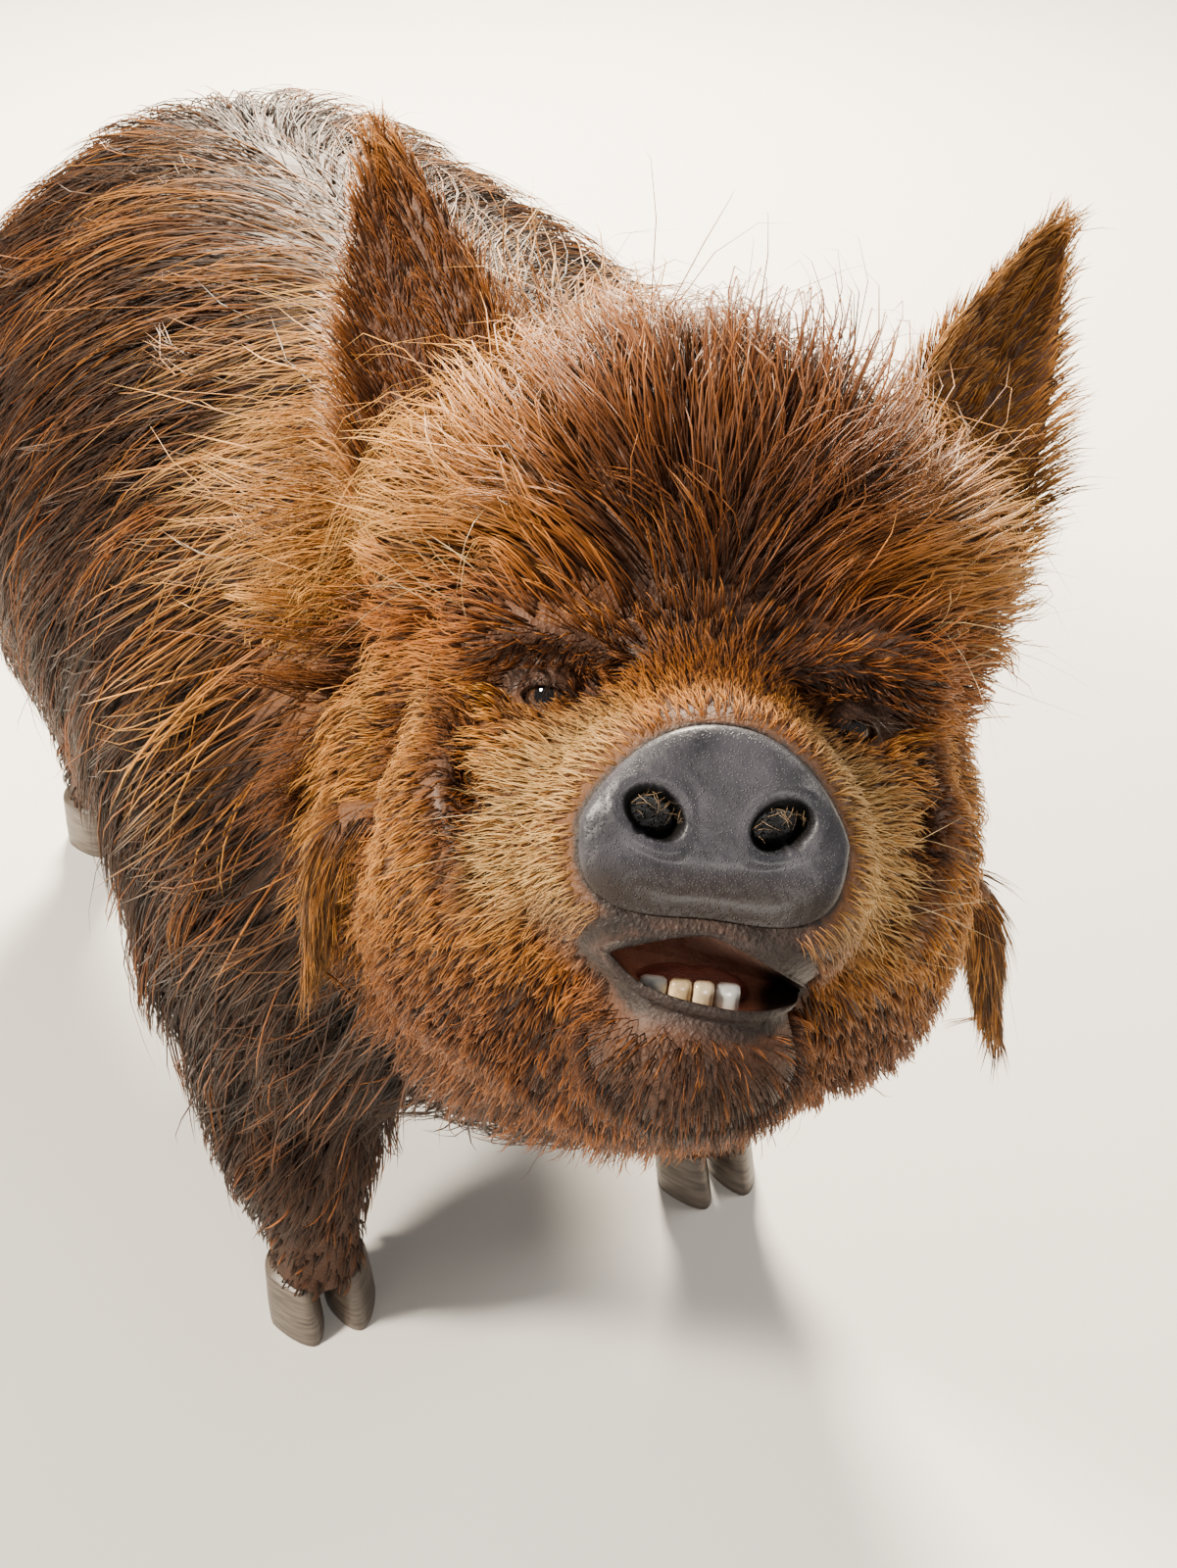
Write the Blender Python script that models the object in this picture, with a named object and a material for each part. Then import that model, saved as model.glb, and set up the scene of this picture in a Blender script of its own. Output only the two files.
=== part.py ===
"""A standing kunekune pig, life size, head raised and turned a little to its right.

Metres, +Z up. The nose points to -Y, the pig's left side is +X, and the soles stand on Z = 0.
The flesh is one blended volume of named forms, contoured on a grid. Locks of the coat are fused to it,
and thin cuts part it into nodes.
"""

import math
from dataclasses import dataclass, replace

import bmesh
import bpy
import numpy as np
from mathutils import Matrix, Vector

# Driving dimensions of the animal
GAP = 0.0003  # left between nodes that touch
CHEST_HEIGHT = 0.440  # of the trunk's middle above the floor
BODY_HALF_WIDTH = 0.215
TRUNK_LENGTH = 0.45  # from the chest's middle to the rump's middle
LEG_SPREAD = 0.142  # of each foot from the midline
FORE_FOOT = -0.012  # along Y
HIND_FOOT = TRUNK_LENGTH + 0.098
CLAW_SPREAD = 0.0188  # of each claw from the middle of its foot
LEG_TOP = CHEST_HEIGHT - 0.222  # where the legs are cut off the trunk, at the inner edge of each leg
LEG_TILT = math.radians(16)  # of that cut
HOOF_HEIGHT = 0.040

# Head pose: the centre of the rooting disc, and the turns of the head about it
DISC_PLACE = Vector((-0.080, -0.411, 0.655))
HEAD_TURN = math.radians(-19.5)
HEAD_RAISE = math.radians(-37.8)
HEAD_LEAN = math.radians(9.0)

# Sizes of the face, in the head's own frame: X to the pig's left, Y back from the disc, Z up
DISC_HALF_WIDTH = 0.0485
DISC_HALF_HEIGHT = 0.0385
DISC_DEPTH = 0.020
NOSTRIL_SPREAD = 0.0215
MOUTH_HEIGHT = -0.0480
MOUTH_SHIFT = 0.005  # of the mouth to the left, a lopsided grin
MOUTH_SIZE = (0.042, 0.053, 0.0140)
JAW_LINE = -0.0590
EYE_RADIUS = 0.0130
EYE_PLACE = Vector((0.0575, 0.0990, 0.0480))
LID = 0.0030
EAR_ROOT = Vector((0.104, 0.190, 0.126))
EAR_TIP = Vector((0.153, 0.235, 0.306))
EAR_HALF_WIDTH = 0.052
EAR_THICKNESS = 0.006
WATTLE_ROOT = Vector((0.130, 0.182, -0.012))
WATTLE_LENGTH = 0.075
NECK_CUT = 0.247
OVERSHOOT = 0.04  # of head and trunk beyond the cut between them, before it is made
SHOULDER_CUT = 0.13  # behind the chest's middle
RUMP_CUT = 0.35

# Coat
TRUNK_BLEND = 0.020
HEAD_BLEND = 0.009
TRUNK_CELL = 0.013
HEAD_CELL = 0.0055
TRUNK_TRIANGLES = 1400
HEAD_TRIANGLES = 1500
COATED_TRUNK_TRIANGLES = 5000
COATED_HEAD_TRIANGLES = 2800
EAR_TRIANGLES = 400
WATTLE_TRIANGLES = 240
TAIL_TRIANGLES = 300
CORE_SHARE = 0.45  # of the coat's depth that the solid core takes up
SEED = 9
MERGES = (2e-5, 5e-6, 1e-6, 1e-7)  # how near points may be before they are merged, tried in turn
THINNINGS = (1.0, 0.98, 1.02, 0.96, 1.04, 1.07)
STATIONS = (0.0, 0.30, 0.66, 1.0)  # along a lock, where its rings stand
LOCK_HEIGHTS = (0.05, 0.74, 0.94, 1.05)  # of each station, in depths of the coat
LOCK_WIDTHS = (0.70, 1.0, 0.74, 0.0)
LOCK_THICKNESSES = (1.0, 1.0, 0.75, 0.0)

HIDE = (0.23, 0.10, 0.045, 1.0)
GINGER = (0.38, 0.17, 0.06, 1.0)
SLATE = (0.09, 0.085, 0.095, 1.0)
HORN = (0.12, 0.10, 0.085, 1.0)
TONGUE = (0.30, 0.07, 0.055, 1.0)
EYE_BROWN = (0.03, 0.018, 0.012, 1.0)


@dataclass(frozen=True)
class Form:
    """One mass of flesh: an ellipsoid round a, or a tapered limb from a to b."""

    name: str
    a: Vector
    size: tuple
    coat: float
    b: Vector = None

    def distance(self, points, share):
        """How far each point is from the form, grown by a share of its coat."""
        if self.b is None:
            radii = np.array(self.size)
            local = points - np.array(self.a)
            near = np.maximum(np.linalg.norm(local / radii, axis=1), 1e-6)
            slope = np.linalg.norm(local / radii**2, axis=1)
            away = (near - 1.0) * near / np.maximum(slope, near / radii.max())
        else:
            a, b = np.array(self.a), np.array(self.b)
            along = b - a
            t = np.clip((points - a) @ along / (along @ along), 0.0, 1.0)
            radius = self.size[0] + t * (self.size[1] - self.size[0])
            away = np.linalg.norm(points - a - t[:, None] * along, axis=1) - radius
        return away - share * self.coat

    def mirrored(self):
        """The same form on the pig's right side."""
        flip = Vector((-1.0, 1.0, 1.0))
        return replace(
            self,
            name=self.name.replace("left", "right"),
            a=self.a * flip,
            b=None if self.b is None else self.b * flip,
        )


@dataclass(frozen=True)
class Coat:
    """Sizes of the locks of one region."""

    spacing: float
    length: float
    width: float
    thickness: float


BODY_LOCKS = Coat(0.098, 0.180, 0.082, 0.0125)
FACE_LOCKS = Coat(0.056, 0.090, 0.042, 0.0085)
FRINGE_LOCKS = Coat(0.030, 0.050, 0.022, 0.0055)


def paired(forms):
    """Each form, and its mirror image where it stands off the midline."""
    return forms + [form.mirrored() for form in forms if "left" in form.name]


HEAD_FRAME = (
    Matrix.Translation(DISC_PLACE)
    @ Matrix.Rotation(HEAD_TURN, 4, "Z")
    @ Matrix.Rotation(HEAD_RAISE, 4, "X")
    @ Matrix.Rotation(HEAD_LEAN, 4, "Y")
)
HEAD_AXES = np.array(HEAD_FRAME.to_3x3())
HEAD_ORIGIN = np.array(DISC_PLACE)


def in_head(points):
    """World points in the head's own frame."""
    return (points - HEAD_ORIGIN) @ HEAD_AXES


def from_head(point):
    """A point of the head's frame, in the world."""
    return HEAD_FRAME @ Vector(point)


def trunk_forms():
    """Chest, barrel, rump, neck and legs, in the world."""
    middle = CHEST_HEIGHT
    wide = BODY_HALF_WIDTH
    rump = TRUNK_LENGTH
    spread = LEG_SPREAD
    knee = Vector((spread, -0.005, 0.155))
    hock = Vector((spread + 0.003, rump + 0.128, 0.190))
    fore_pastern = Vector((spread, FORE_FOOT, 0.045))
    hind_pastern = Vector((spread, HIND_FOOT, 0.045))
    poll = from_head((0.0, 0.215, 0.010))
    crest = from_head((0.0, 0.205, 0.095))
    throat = from_head((0.0, 0.180, -0.042))
    return paired(
        [
            Form("chest", Vector((0, 0.01, middle - 0.005)), (wide - 0.030, 0.21, 0.190), 0.024),
            Form("barrel", Vector((0, 0.23, middle)), (wide, 0.36, 0.199), 0.026),
            Form("belly", Vector((0, 0.22, middle - 0.085)), (wide - 0.028, 0.27, 0.150), 0.018),
            Form("rump", Vector((0, rump, middle - 0.005)), (wide - 0.045, 0.175, 0.185), 0.022),
            Form("shoulder_left", Vector((0.132, 0.0, middle - 0.065)), (0.074, 0.110, 0.170), 0.020),
            Form("ham_left", Vector((0.116, rump + 0.030, middle - 0.070)), (0.088, 0.125, 0.170), 0.018),
            Form("forearm_left", Vector((0.136, 0.005, middle - 0.145)), (0.060, 0.036), 0.012, knee),
            Form("fore_shank_left", knee, (0.034, 0.027), 0.006, fore_pastern),
            Form("thigh_left", Vector((0.128, rump + 0.035, middle - 0.130)), (0.080, 0.036), 0.012, hock),
            Form("hind_shank_left", hock, (0.032, 0.026), 0.006, hind_pastern),
            Form("neck", Vector((0, -0.03, middle + 0.010)), (0.175, 0.108), 0.028, poll),
            Form("crest", Vector((0, 0.03, middle + 0.130)), (0.072, 0.076), 0.036, crest),
            Form("dewlap", Vector((0, -0.11, middle - 0.090)), (0.105, 0.074), 0.020, throat),
        ]
    )


def head_forms():
    """Snout, jaw, cheeks, brow and skull, in the head's frame."""
    snout_top = Vector((0, 0.108, 0.050))
    return paired(
        [
            Form("snout", Vector((0, 0.010, 0.000)), (0.0370, 0.049), 0.002, Vector((0, 0.085, 0.004))),
            Form("bridge", Vector((0, 0.030, 0.016)), (0.022, 0.036), 0.004, snout_top),
            Form("lip_left", Vector((0.025, 0.040, -0.022)), (0.025, 0.032, 0.022), 0.002),
            Form("cheek_left", Vector((0.061, 0.122, -0.020)), (0.043, 0.066, 0.056), 0.008),
            Form("jowl_left", Vector((0.077, 0.172, -0.038)), (0.040, 0.068, 0.052), 0.014),
            Form("skull", Vector((0, 0.172, 0.085)), (0.096, 0.075, 0.092), 0.022),
            Form("forehead", Vector((0, 0.145, 0.135)), (0.086, 0.052, 0.064), 0.036),
            Form("brow_left", Vector((0.060, 0.114, 0.074)), (0.036, 0.027, 0.020), 0.014),
            Form("cheekbone_left", Vector((0.060, 0.098, 0.014)), (0.028, 0.029, 0.022), 0.005),
            Form("jaw", Vector((0.003, 0.040, -0.077)), (0.024, 0.056), 0.010, Vector((0, 0.150, -0.066))),
            Form("chin", Vector((0.004, 0.040, -0.083)), (0.036, 0.028, 0.023), 0.014),
            Form("ear_root_left", Vector((0.096, 0.185, 0.120)), (0.040, 0.038, 0.048), 0.012),
        ]
    )


TRUNK = trunk_forms()
HEAD = head_forms()


def blended(distances, blend):
    """Smooth union of the rows of distances."""
    return -blend * np.log(np.exp(-np.clip(distances / blend, -60, 60)).sum(axis=0))


def trimmed(distance, beyond):
    """Distance to a body of which what lies beyond a cut is left out, its rim rounded."""
    return -blended(np.stack([-distance, -beyond]), 0.008)


def flesh(points, share):
    """Signed distance to the animal, grown by a share of the coat's depth."""
    whole = blended(np.stack([form.distance(points, share) for form in TRUNK]), TRUNK_BLEND)
    local = in_head(points)
    near = local[:, 1] < 0.42
    head = blended(np.stack([form.distance(local[near], share) for form in HEAD]), HEAD_BLEND)
    whole[near] = blended(np.stack([head, whole[near]]), 0.014)
    return whole


def coat_depth(points):
    """Depth of the coat at each point, from the forms that are near it."""
    local = in_head(points)
    depths = [form.coat for form in TRUNK + HEAD]
    away = [form.distance(points, 0.0) for form in TRUNK] + [form.distance(local, 0.0) for form in HEAD]
    weights = np.exp(-np.clip(np.stack(away) / 0.012, -30, 30))
    return (weights * np.array(depths)[:, None]).sum(axis=0) / weights.sum(axis=0)


def lie_of_coat(points):
    """Unit vectors along which the hair lies: back and down the body, and outwards from the snout."""
    local = in_head(points)
    fall = np.clip((CHEST_HEIGHT + 0.19 - points[:, 2]) / 0.24, 0.0, 1.0) * math.radians(66) + math.radians(6)
    trunk = np.stack([0.1 * np.sign(points[:, 0]) * np.cos(fall), np.cos(fall), -np.sin(fall)], axis=1)
    face = np.stack([local[:, 0], 0.03 + 0.35 * local[:, 1], local[:, 2] - 0.03], axis=1)
    face = unit(face) @ HEAD_AXES.T
    behind = np.clip((local[:, 1] - 0.17) / 0.08, 0.0, 1.0)[:, None]
    return unit(face * (1 - behind) + trunk * behind + np.array([0.0, 0.0, -0.15]))


def unit(vectors):
    """The vectors, each of length one."""
    return vectors / np.maximum(np.linalg.norm(vectors, axis=1, keepdims=True), 1e-9)


def outward(points):
    """Unit vectors straight away from the flesh."""
    step = 0.002
    slope = [flesh(points + step * axis, 0.0) - flesh(points - step * axis, 0.0) for axis in np.eye(3)]
    return unit(np.stack(slope, axis=1))


def lifted(points, height):
    """The points moved until they stand at a height above the skin."""
    for _ in range(3):
        points = points + outward(points) * (height - flesh(points, 0.0))[:, None]
    return points


def spread_roots(points, spacing, dice):
    """Picks points at random that keep a distance from each other."""
    chosen = np.empty((0, 3))
    for point in points[dice.permutation(len(points))]:
        if len(chosen) == 0 or np.linalg.norm(chosen - point, axis=1).min() > spacing:
            chosen = np.vstack([chosen, point])
    return chosen


def comb(roots, coat, dice):
    """Paths of locks along the lie of the coat, lower where they run across a cut between nodes."""
    count = len(roots)
    depth = coat_depth(roots)
    length = coat.length * dice.uniform(0.82, 1.15, count) * np.clip(depth / 0.02, 0.6, 1.15)
    swing = dice.uniform(-0.30, 0.30, count)
    bend = dice.uniform(-0.55, 0.55, count)
    reach = dice.uniform(0.90, 1.08, count)
    paths = trace(roots, depth * reach, length, swing, bend, np.array(LOCK_HEIGHTS))
    low = depth * np.where(runs_across_cut(paths), CORE_SHARE + 0.08, 9.0)
    for station in range(1, len(STATIONS)):
        height = np.minimum(depth * reach * LOCK_HEIGHTS[station], low)
        paths[:, station] = lifted(paths[:, station], height)
    return paths


def trace(roots, depth, length, swing, bend, heights):
    """Follows the lie from each root, turning by the swing and the bend, at heights in coat depths."""
    place = lifted(roots, heights[0] * depth)
    paths = [place]
    for station in range(1, len(STATIONS)):
        share = STATIONS[station] - STATIONS[station - 1]
        away = outward(place)
        lie = lie_of_coat(place)
        along = unit(lie - away * (lie * away).sum(axis=1, keepdims=True))
        turn = (swing + bend * STATIONS[station])[:, None]
        along = along * np.cos(turn) + np.cross(away, along) * np.sin(turn)
        place = lifted(place + along * (length * share)[:, None], heights[station] * depth)
        paths.append(place)
    return np.stack(paths, axis=1)


def runs_across_cut(paths):
    """Which of the paths have points on both sides of a cut."""
    points = paths.reshape(-1, 3)
    crossing = np.zeros(len(paths), dtype=bool)
    for values, cut in ((in_head(points)[:, 1], NECK_CUT), (points[:, 1], SHOULDER_CUT), (points[:, 1], RUMP_CUT)):
        beyond = (values > cut).reshape(paths.shape[:2])
        crossing |= beyond.any(axis=1) & ~beyond.all(axis=1)
    return crossing


def make_lock(path, normals, coat):
    """A flat, tapered lock with a lens-shaped section, along a path that ends in a point."""
    vertices = []
    for k, point in enumerate(path[:-1]):
        ahead = unit((path[k + 1] - path[max(k - 1, 0)])[None])[0]
        across = unit(np.cross(ahead, normals[k])[None])[0] * coat.width / 2 * LOCK_WIDTHS[k]
        high = unit(np.cross(across, ahead)[None])[0] * coat.thickness / 2 * LOCK_THICKNESSES[k]
        vertices += [point + across, point + high, point - across, point - high]
    vertices.append(path[-1])
    rows = len(path) - 1
    faces = [(3, 2, 1, 0)]
    for row in range(rows - 1):
        for k in range(4):
            a = 4 * row + k
            b = 4 * row + (k + 1) % 4
            faces.append((a, b, b + 4, a + 4))
    tip = 4 * rows
    for k in range(4):
        faces.append((tip - 4 + k, tip - 4 + (k + 1) % 4, tip))
    lock = new_object("lock", vertices, faces)
    face_outwards(lock)
    return lock


def grow_locks(roots, coat, dice, wanted=None):
    """Locks on the flesh from the roots, without those whose path is unwanted."""
    paths = comb(roots, coat, dice)
    locks = []
    for path in paths:
        if wanted is None or wanted(path):
            locks.append(make_lock(path, outward(path), coat))
    return locks


def clear_of_face(path):
    """Whether a lock of the head keeps off the eyes, the mouth, the disc and the ears."""
    local = in_head(path)
    for _, sign, eye in sides_of(EYE_PLACE):
        front = np.array(eye) + np.array([0.010 * sign, -0.010, 0.0])
        if np.linalg.norm(local - front, axis=1).min() < 0.024:
            return False
        frame, length = ear_frame(sign)
        inside = [frame.inverted() @ Vector(point) for point in path]
        for point in inside:
            if abs(point.x) < EAR_HALF_WIDTH and abs(point.y) < 0.035 and point.z > -0.025:
                return False
    low_face = (local[:, 2] < -0.025) & (local[:, 2] > -0.080) & (np.abs(local[:, 0]) < 0.052)
    if (low_face & (local[:, 1] < 0.085)).any():
        return False
    return local[:, 1].min() > 0.034


def clear_of_feet(path):
    """Whether a lock of the trunk ends well above the floor."""
    return path[:, 2].min() > 0.10


def contour(field, low, high, cell):
    """Closed mesh of the surface where field is zero: one vertex in each crossed cell of a grid."""
    axes = [np.arange(a, b + cell, cell) for a, b in zip(low, high)]
    shape = tuple(len(axis) for axis in axes)
    grid = np.stack(np.meshgrid(*axes, indexing="ij"), axis=-1)
    values = field(grid.reshape(-1, 3)).reshape(shape)
    inside = values < 0
    total = np.zeros(shape + (3,))
    count = np.zeros(shape)
    crossings = []
    for axis in range(3):
        here = [slice(None)] * 3
        there = [slice(None)] * 3
        here[axis] = slice(0, -1)
        there[axis] = slice(1, None)
        cells = np.argwhere(inside[tuple(here)] != inside[tuple(there)])
        step, side, other = np.roll(np.eye(3, dtype=int), -axis, axis=0)
        first = values[tuple(cells.T)]
        second = values[tuple((cells + step).T)]
        place = grid[tuple(cells.T)] + (first / (first - second))[:, None] * step * cell
        around = [cells - side - other, cells - other, cells, cells - side]
        for neighbour in around:
            np.add.at(total, tuple(neighbour.T), place)
            np.add.at(count, tuple(neighbour.T), 1)
        crossings.append((around, first < 0))
    used = count > 0
    index = np.full(shape, -1)
    index[used] = np.arange(used.sum())
    faces = []
    for around, outward in crossings:
        corners = np.stack([index[tuple(c.T)] for c in around], axis=1)
        corners[~outward] = corners[~outward][:, ::-1]
        faces.append(corners)
    return total[used] / count[used][:, None], np.concatenate(faces)


def paint(obj, colour, roughness=0.7):
    """Gives the object a material of its own."""
    material = bpy.data.materials.new(obj.name)
    material.use_nodes = True
    shader = material.node_tree.nodes["Principled BSDF"]
    shader.inputs["Base Color"].default_value = colour
    shader.inputs["Roughness"].default_value = roughness
    obj.data.materials.clear()
    obj.data.materials.append(material)
    return obj


def new_object(name, vertices, faces):
    """A mesh object, linked to the scene."""
    mesh = bpy.data.meshes.new(name)
    mesh.from_pydata([tuple(v) for v in vertices], [], [tuple(f) for f in faces])
    mesh.validate()
    obj = bpy.data.objects.new(name, mesh)
    bpy.context.scene.collection.objects.link(obj)
    return obj


def settle(obj):
    """Replaces the object's mesh by the one its modifiers give."""
    bpy.context.view_layer.update()
    evaluated = obj.evaluated_get(bpy.context.evaluated_depsgraph_get())
    mesh = bpy.data.meshes.new_from_object(evaluated)
    obj.modifiers.clear()
    obj.data = mesh
    return obj


def thin_out(obj, triangles):
    """Collapses the mesh's flat places until about so many triangles are left."""
    now = sum(len(face.vertices) - 2 for face in obj.data.polygons)
    modifier = obj.modifiers.new("thin", "DECIMATE")
    modifier.ratio = min(1.0, triangles / now)
    return settle(obj)


def is_closed(data):
    """Whether every edge of the mesh has two faces."""
    mesh = bmesh.new()
    mesh.from_mesh(data)
    closed = all(len(edge.link_faces) == 2 for edge in mesh.edges)
    mesh.free()
    return closed


def thin_closed(obj, triangles):
    """Thins the mesh out to about so many triangles, or to a few more where that keeps it closed."""
    whole = obj.data
    for more in THINNINGS:
        obj.data = whole.copy()
        keep_largest(thin_out(obj, triangles * more))
        if is_closed(obj.data):
            return obj
    obj.data = whole
    return keep_largest(obj)


def discard(obj):
    """Removes a helper object."""
    bpy.data.objects.remove(obj)


def boolean(obj, operation, tool, solver="MANIFOLD"):
    """Applies one Boolean with another object, which stays."""
    modifier = obj.modifiers.new("boolean", "BOOLEAN")
    modifier.operation = operation
    modifier.solver = solver
    modifier.object = tool
    return settle(obj)


def unite(obj, pieces):
    """Fuses closed pieces to the object in one union, and removes them."""
    collection = bpy.data.collections.new("pieces")
    bpy.context.scene.collection.children.link(collection)
    for piece in pieces:
        collection.objects.link(piece)
    modifier = obj.modifiers.new("union", "BOOLEAN")
    modifier.operation = "UNION"
    modifier.solver = "MANIFOLD"
    modifier.operand_type = "COLLECTION"
    modifier.collection = collection
    settle(obj)
    for piece in pieces:
        discard(piece)
    bpy.data.collections.remove(collection)
    return obj


def keep_largest(obj):
    """Leaves only the largest closed surface of the mesh, with its slivers merged where that keeps it closed."""
    for merge in MERGES:
        mesh = bmesh.new()
        mesh.from_mesh(obj.data)
        bmesh.ops.triangulate(mesh, faces=mesh.faces)
        bmesh.ops.remove_doubles(mesh, verts=mesh.verts, dist=merge)
        bmesh.ops.dissolve_degenerate(mesh, edges=mesh.edges, dist=merge)
        bmesh.ops.triangulate(mesh, faces=mesh.faces)
        shells = closed_shells(mesh)
        scraps = [face for shell in shells[1:] for face in shell]
        bmesh.ops.delete(mesh, geom=scraps, context="FACES")
        loose = [vertex for vertex in mesh.verts if not vertex.link_faces]
        bmesh.ops.delete(mesh, geom=loose, context="VERTS")
        if all(len(edge.link_faces) == 2 for edge in mesh.edges):
            break
        if merge != MERGES[-1]:
            mesh.free()
    mesh.to_mesh(obj.data)
    mesh.free()
    return obj


def closed_shells(mesh):
    """The mesh's separate surfaces as sets of faces, the largest first."""
    unseen = set(mesh.faces)
    shells = []
    while unseen:
        shell = {unseen.pop()}
        front = list(shell)
        while front:
            face = front.pop()
            for edge in face.edges:
                for other in edge.link_faces:
                    if other in unseen:
                        unseen.remove(other)
                        shell.add(other)
                        front.append(other)
        shells.append(shell)
    return sorted(shells, key=shell_volume, reverse=True)


def shell_volume(shell):
    """Volume inside a closed set of triangles."""
    volume = 0.0
    for face in shell:
        a, b, c = (vertex.co for vertex in face.verts)
        volume += a.dot(b.cross(c)) / 6.0
    return volume


def box(frame, low, high):
    """A box between two corners of a frame."""
    corners = [(x, y, z) for z in (low[2], high[2]) for y in (low[1], high[1]) for x in (low[0], high[0])]
    faces = [(0, 2, 3, 1), (4, 5, 7, 6), (0, 1, 5, 4), (2, 6, 7, 3), (0, 4, 6, 2), (1, 3, 7, 5)]
    tool = new_object("tool", [frame @ Vector(corner) for corner in corners], faces)
    tool.hide_render = True
    tool.display_type = "WIRE"
    return tool


def part_off(whole, name, frame, low, high):
    """Cuts what lies in a box off the whole, with a thin gap, and returns it as a node of its own."""
    half = Vector((GAP, GAP, GAP)) / 2
    inner = box(frame, Vector(low) + half, Vector(high) - half)
    outer = box(frame, Vector(low) - half, Vector(high) + half)
    piece = bpy.data.objects.new(name, whole.data.copy())
    bpy.context.scene.collection.objects.link(piece)
    keep_largest(boolean(piece, "INTERSECT", inner))
    keep_largest(boolean(whole, "DIFFERENCE", outer))
    discard(inner)
    discard(outer)
    return piece


def cut_by(piece, neighbour):
    """Cuts a piece off at its neighbour's surface, with a thin gap."""
    points = np.array([vertex.co for vertex in neighbour.data.vertices])
    centre = Vector((points.min(axis=0) + points.max(axis=0)) / 2)
    grown = bpy.data.objects.new("tool", neighbour.data.copy())
    bpy.context.scene.collection.objects.link(grown)
    near = np.array([vertex.co for vertex in piece.data.vertices]).mean(axis=0)
    growth = 1.0 + 1.5 * GAP / (Vector(near) - centre).length
    grown.data.transform(Matrix.Translation(centre) @ Matrix.Scale(growth, 4) @ Matrix.Translation(-centre))
    boolean(piece, "DIFFERENCE", grown)
    boolean(piece, "DIFFERENCE", neighbour)
    discard(grown)
    return keep_largest(piece)


def rings(name, sections):
    """A closed body through rings of points, each ring with as many points as the next."""
    count = len(sections[0])
    vertices = [point for ring in sections for point in ring]
    faces = [tuple(reversed(range(count)))]
    for row in range(len(sections) - 1):
        for k in range(count):
            a = row * count + k
            b = row * count + (k + 1) % count
            faces.append((a, b, b + count, a + count))
    faces.append(tuple(range(len(vertices) - count, len(vertices))))
    obj = new_object(name, vertices, faces)
    face_outwards(obj)
    return obj


def face_outwards(obj):
    """Turns the faces of a closed mesh outwards."""
    mesh = bmesh.new()
    mesh.from_mesh(obj.data)
    bmesh.ops.recalc_face_normals(mesh, faces=mesh.faces)
    if mesh.calc_volume(signed=True) < 0:
        bmesh.ops.reverse_faces(mesh, faces=mesh.faces)
    bmesh.ops.triangulate(mesh, faces=mesh.faces)
    mesh.to_mesh(obj.data)
    mesh.free()


def tube(name, path, radii, sides=10, flat=1.0):
    """A tapered tube along a path of points, its section flattened by a factor."""
    sections = []
    up = Vector((0.0, 0.0, 1.0))
    for k, point in enumerate(path):
        ahead = (path[min(k + 1, len(path) - 1)] - path[max(k - 1, 0)]).normalized()
        across = ahead.cross(up)
        if across.length < 0.1:
            across = ahead.cross(Vector((0.0, 1.0, 0.0)))
        across.normalize()
        high = across.cross(ahead)
        ring = []
        for side in range(sides):
            angle = 2 * math.pi * side / sides
            ring.append(point + across * (radii[k] * math.cos(angle)) + high * (flat * radii[k] * math.sin(angle)))
        sections.append(ring)
    return rings(name, sections)


def ball(name, frame, centre, radii, segments=12, rows=8):
    """An ellipsoid in a frame."""
    mesh = bmesh.new()
    place = frame @ Matrix.Translation(Vector(centre)) @ Matrix.Diagonal((*radii, 1.0))
    bmesh.ops.create_uvsphere(mesh, u_segments=segments, v_segments=rows, radius=1.0, matrix=place)
    bmesh.ops.triangulate(mesh, faces=mesh.faces)
    data = bpy.data.meshes.new(name)
    mesh.to_mesh(data)
    mesh.free()
    obj = bpy.data.objects.new(name, data)
    bpy.context.scene.collection.objects.link(obj)
    return obj


def sides_of(point):
    """The point's place on the pig's left and right sides, with their names."""
    return [("left", 1.0, Vector(point)), ("right", -1.0, Vector(point) * Vector((-1.0, 1.0, 1.0)))]


def make_trunk(feet):
    """Everything behind the head, with its locks and the dewclaws, as one body."""
    vertices, faces = contour(
        lambda p: trimmed(flesh(p, CORE_SHARE), (NECK_CUT - OVERSHOOT) - in_head(p)[:, 1]),
        (-0.34, -0.45, -0.03),
        (0.34, 0.78, 0.78),
        TRUNK_CELL,
    )
    dice = np.random.default_rng(SEED)
    skin = vertices[in_head(vertices)[:, 1] > NECK_CUT - 0.03]
    locks = grow_locks(spread_roots(skin, BODY_LOCKS.spacing, dice), BODY_LOCKS, dice, clear_of_feet)
    trunk = thin_out(new_object("trunk", vertices, faces), TRUNK_TRIANGLES)
    unite(trunk, locks + feet)
    return thin_closed(trunk, COATED_TRUNK_TRIANGLES)


def make_head():
    """The head without ears or disc, as one body in the world."""
    vertices, faces = contour(
        lambda p: trimmed(flesh(p @ HEAD_AXES.T + HEAD_ORIGIN, CORE_SHARE), p[:, 1] - (NECK_CUT + OVERSHOOT)),
        (-0.24, -0.03, -0.24),
        (0.24, 0.33, 0.30),
        HEAD_CELL,
    )
    dice = np.random.default_rng(SEED + 1)
    world = vertices @ HEAD_AXES.T + HEAD_ORIGIN
    skin = world[vertices[:, 1] < NECK_CUT - 0.004]
    locks = grow_locks(spread_roots(skin, FACE_LOCKS.spacing, dice), FACE_LOCKS, dice, clear_of_face)
    head = thin_out(new_object("head", world, faces), HEAD_TRIANGLES)
    unite(head, locks)
    return thin_closed(head, COATED_HEAD_TRIANGLES)


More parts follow.
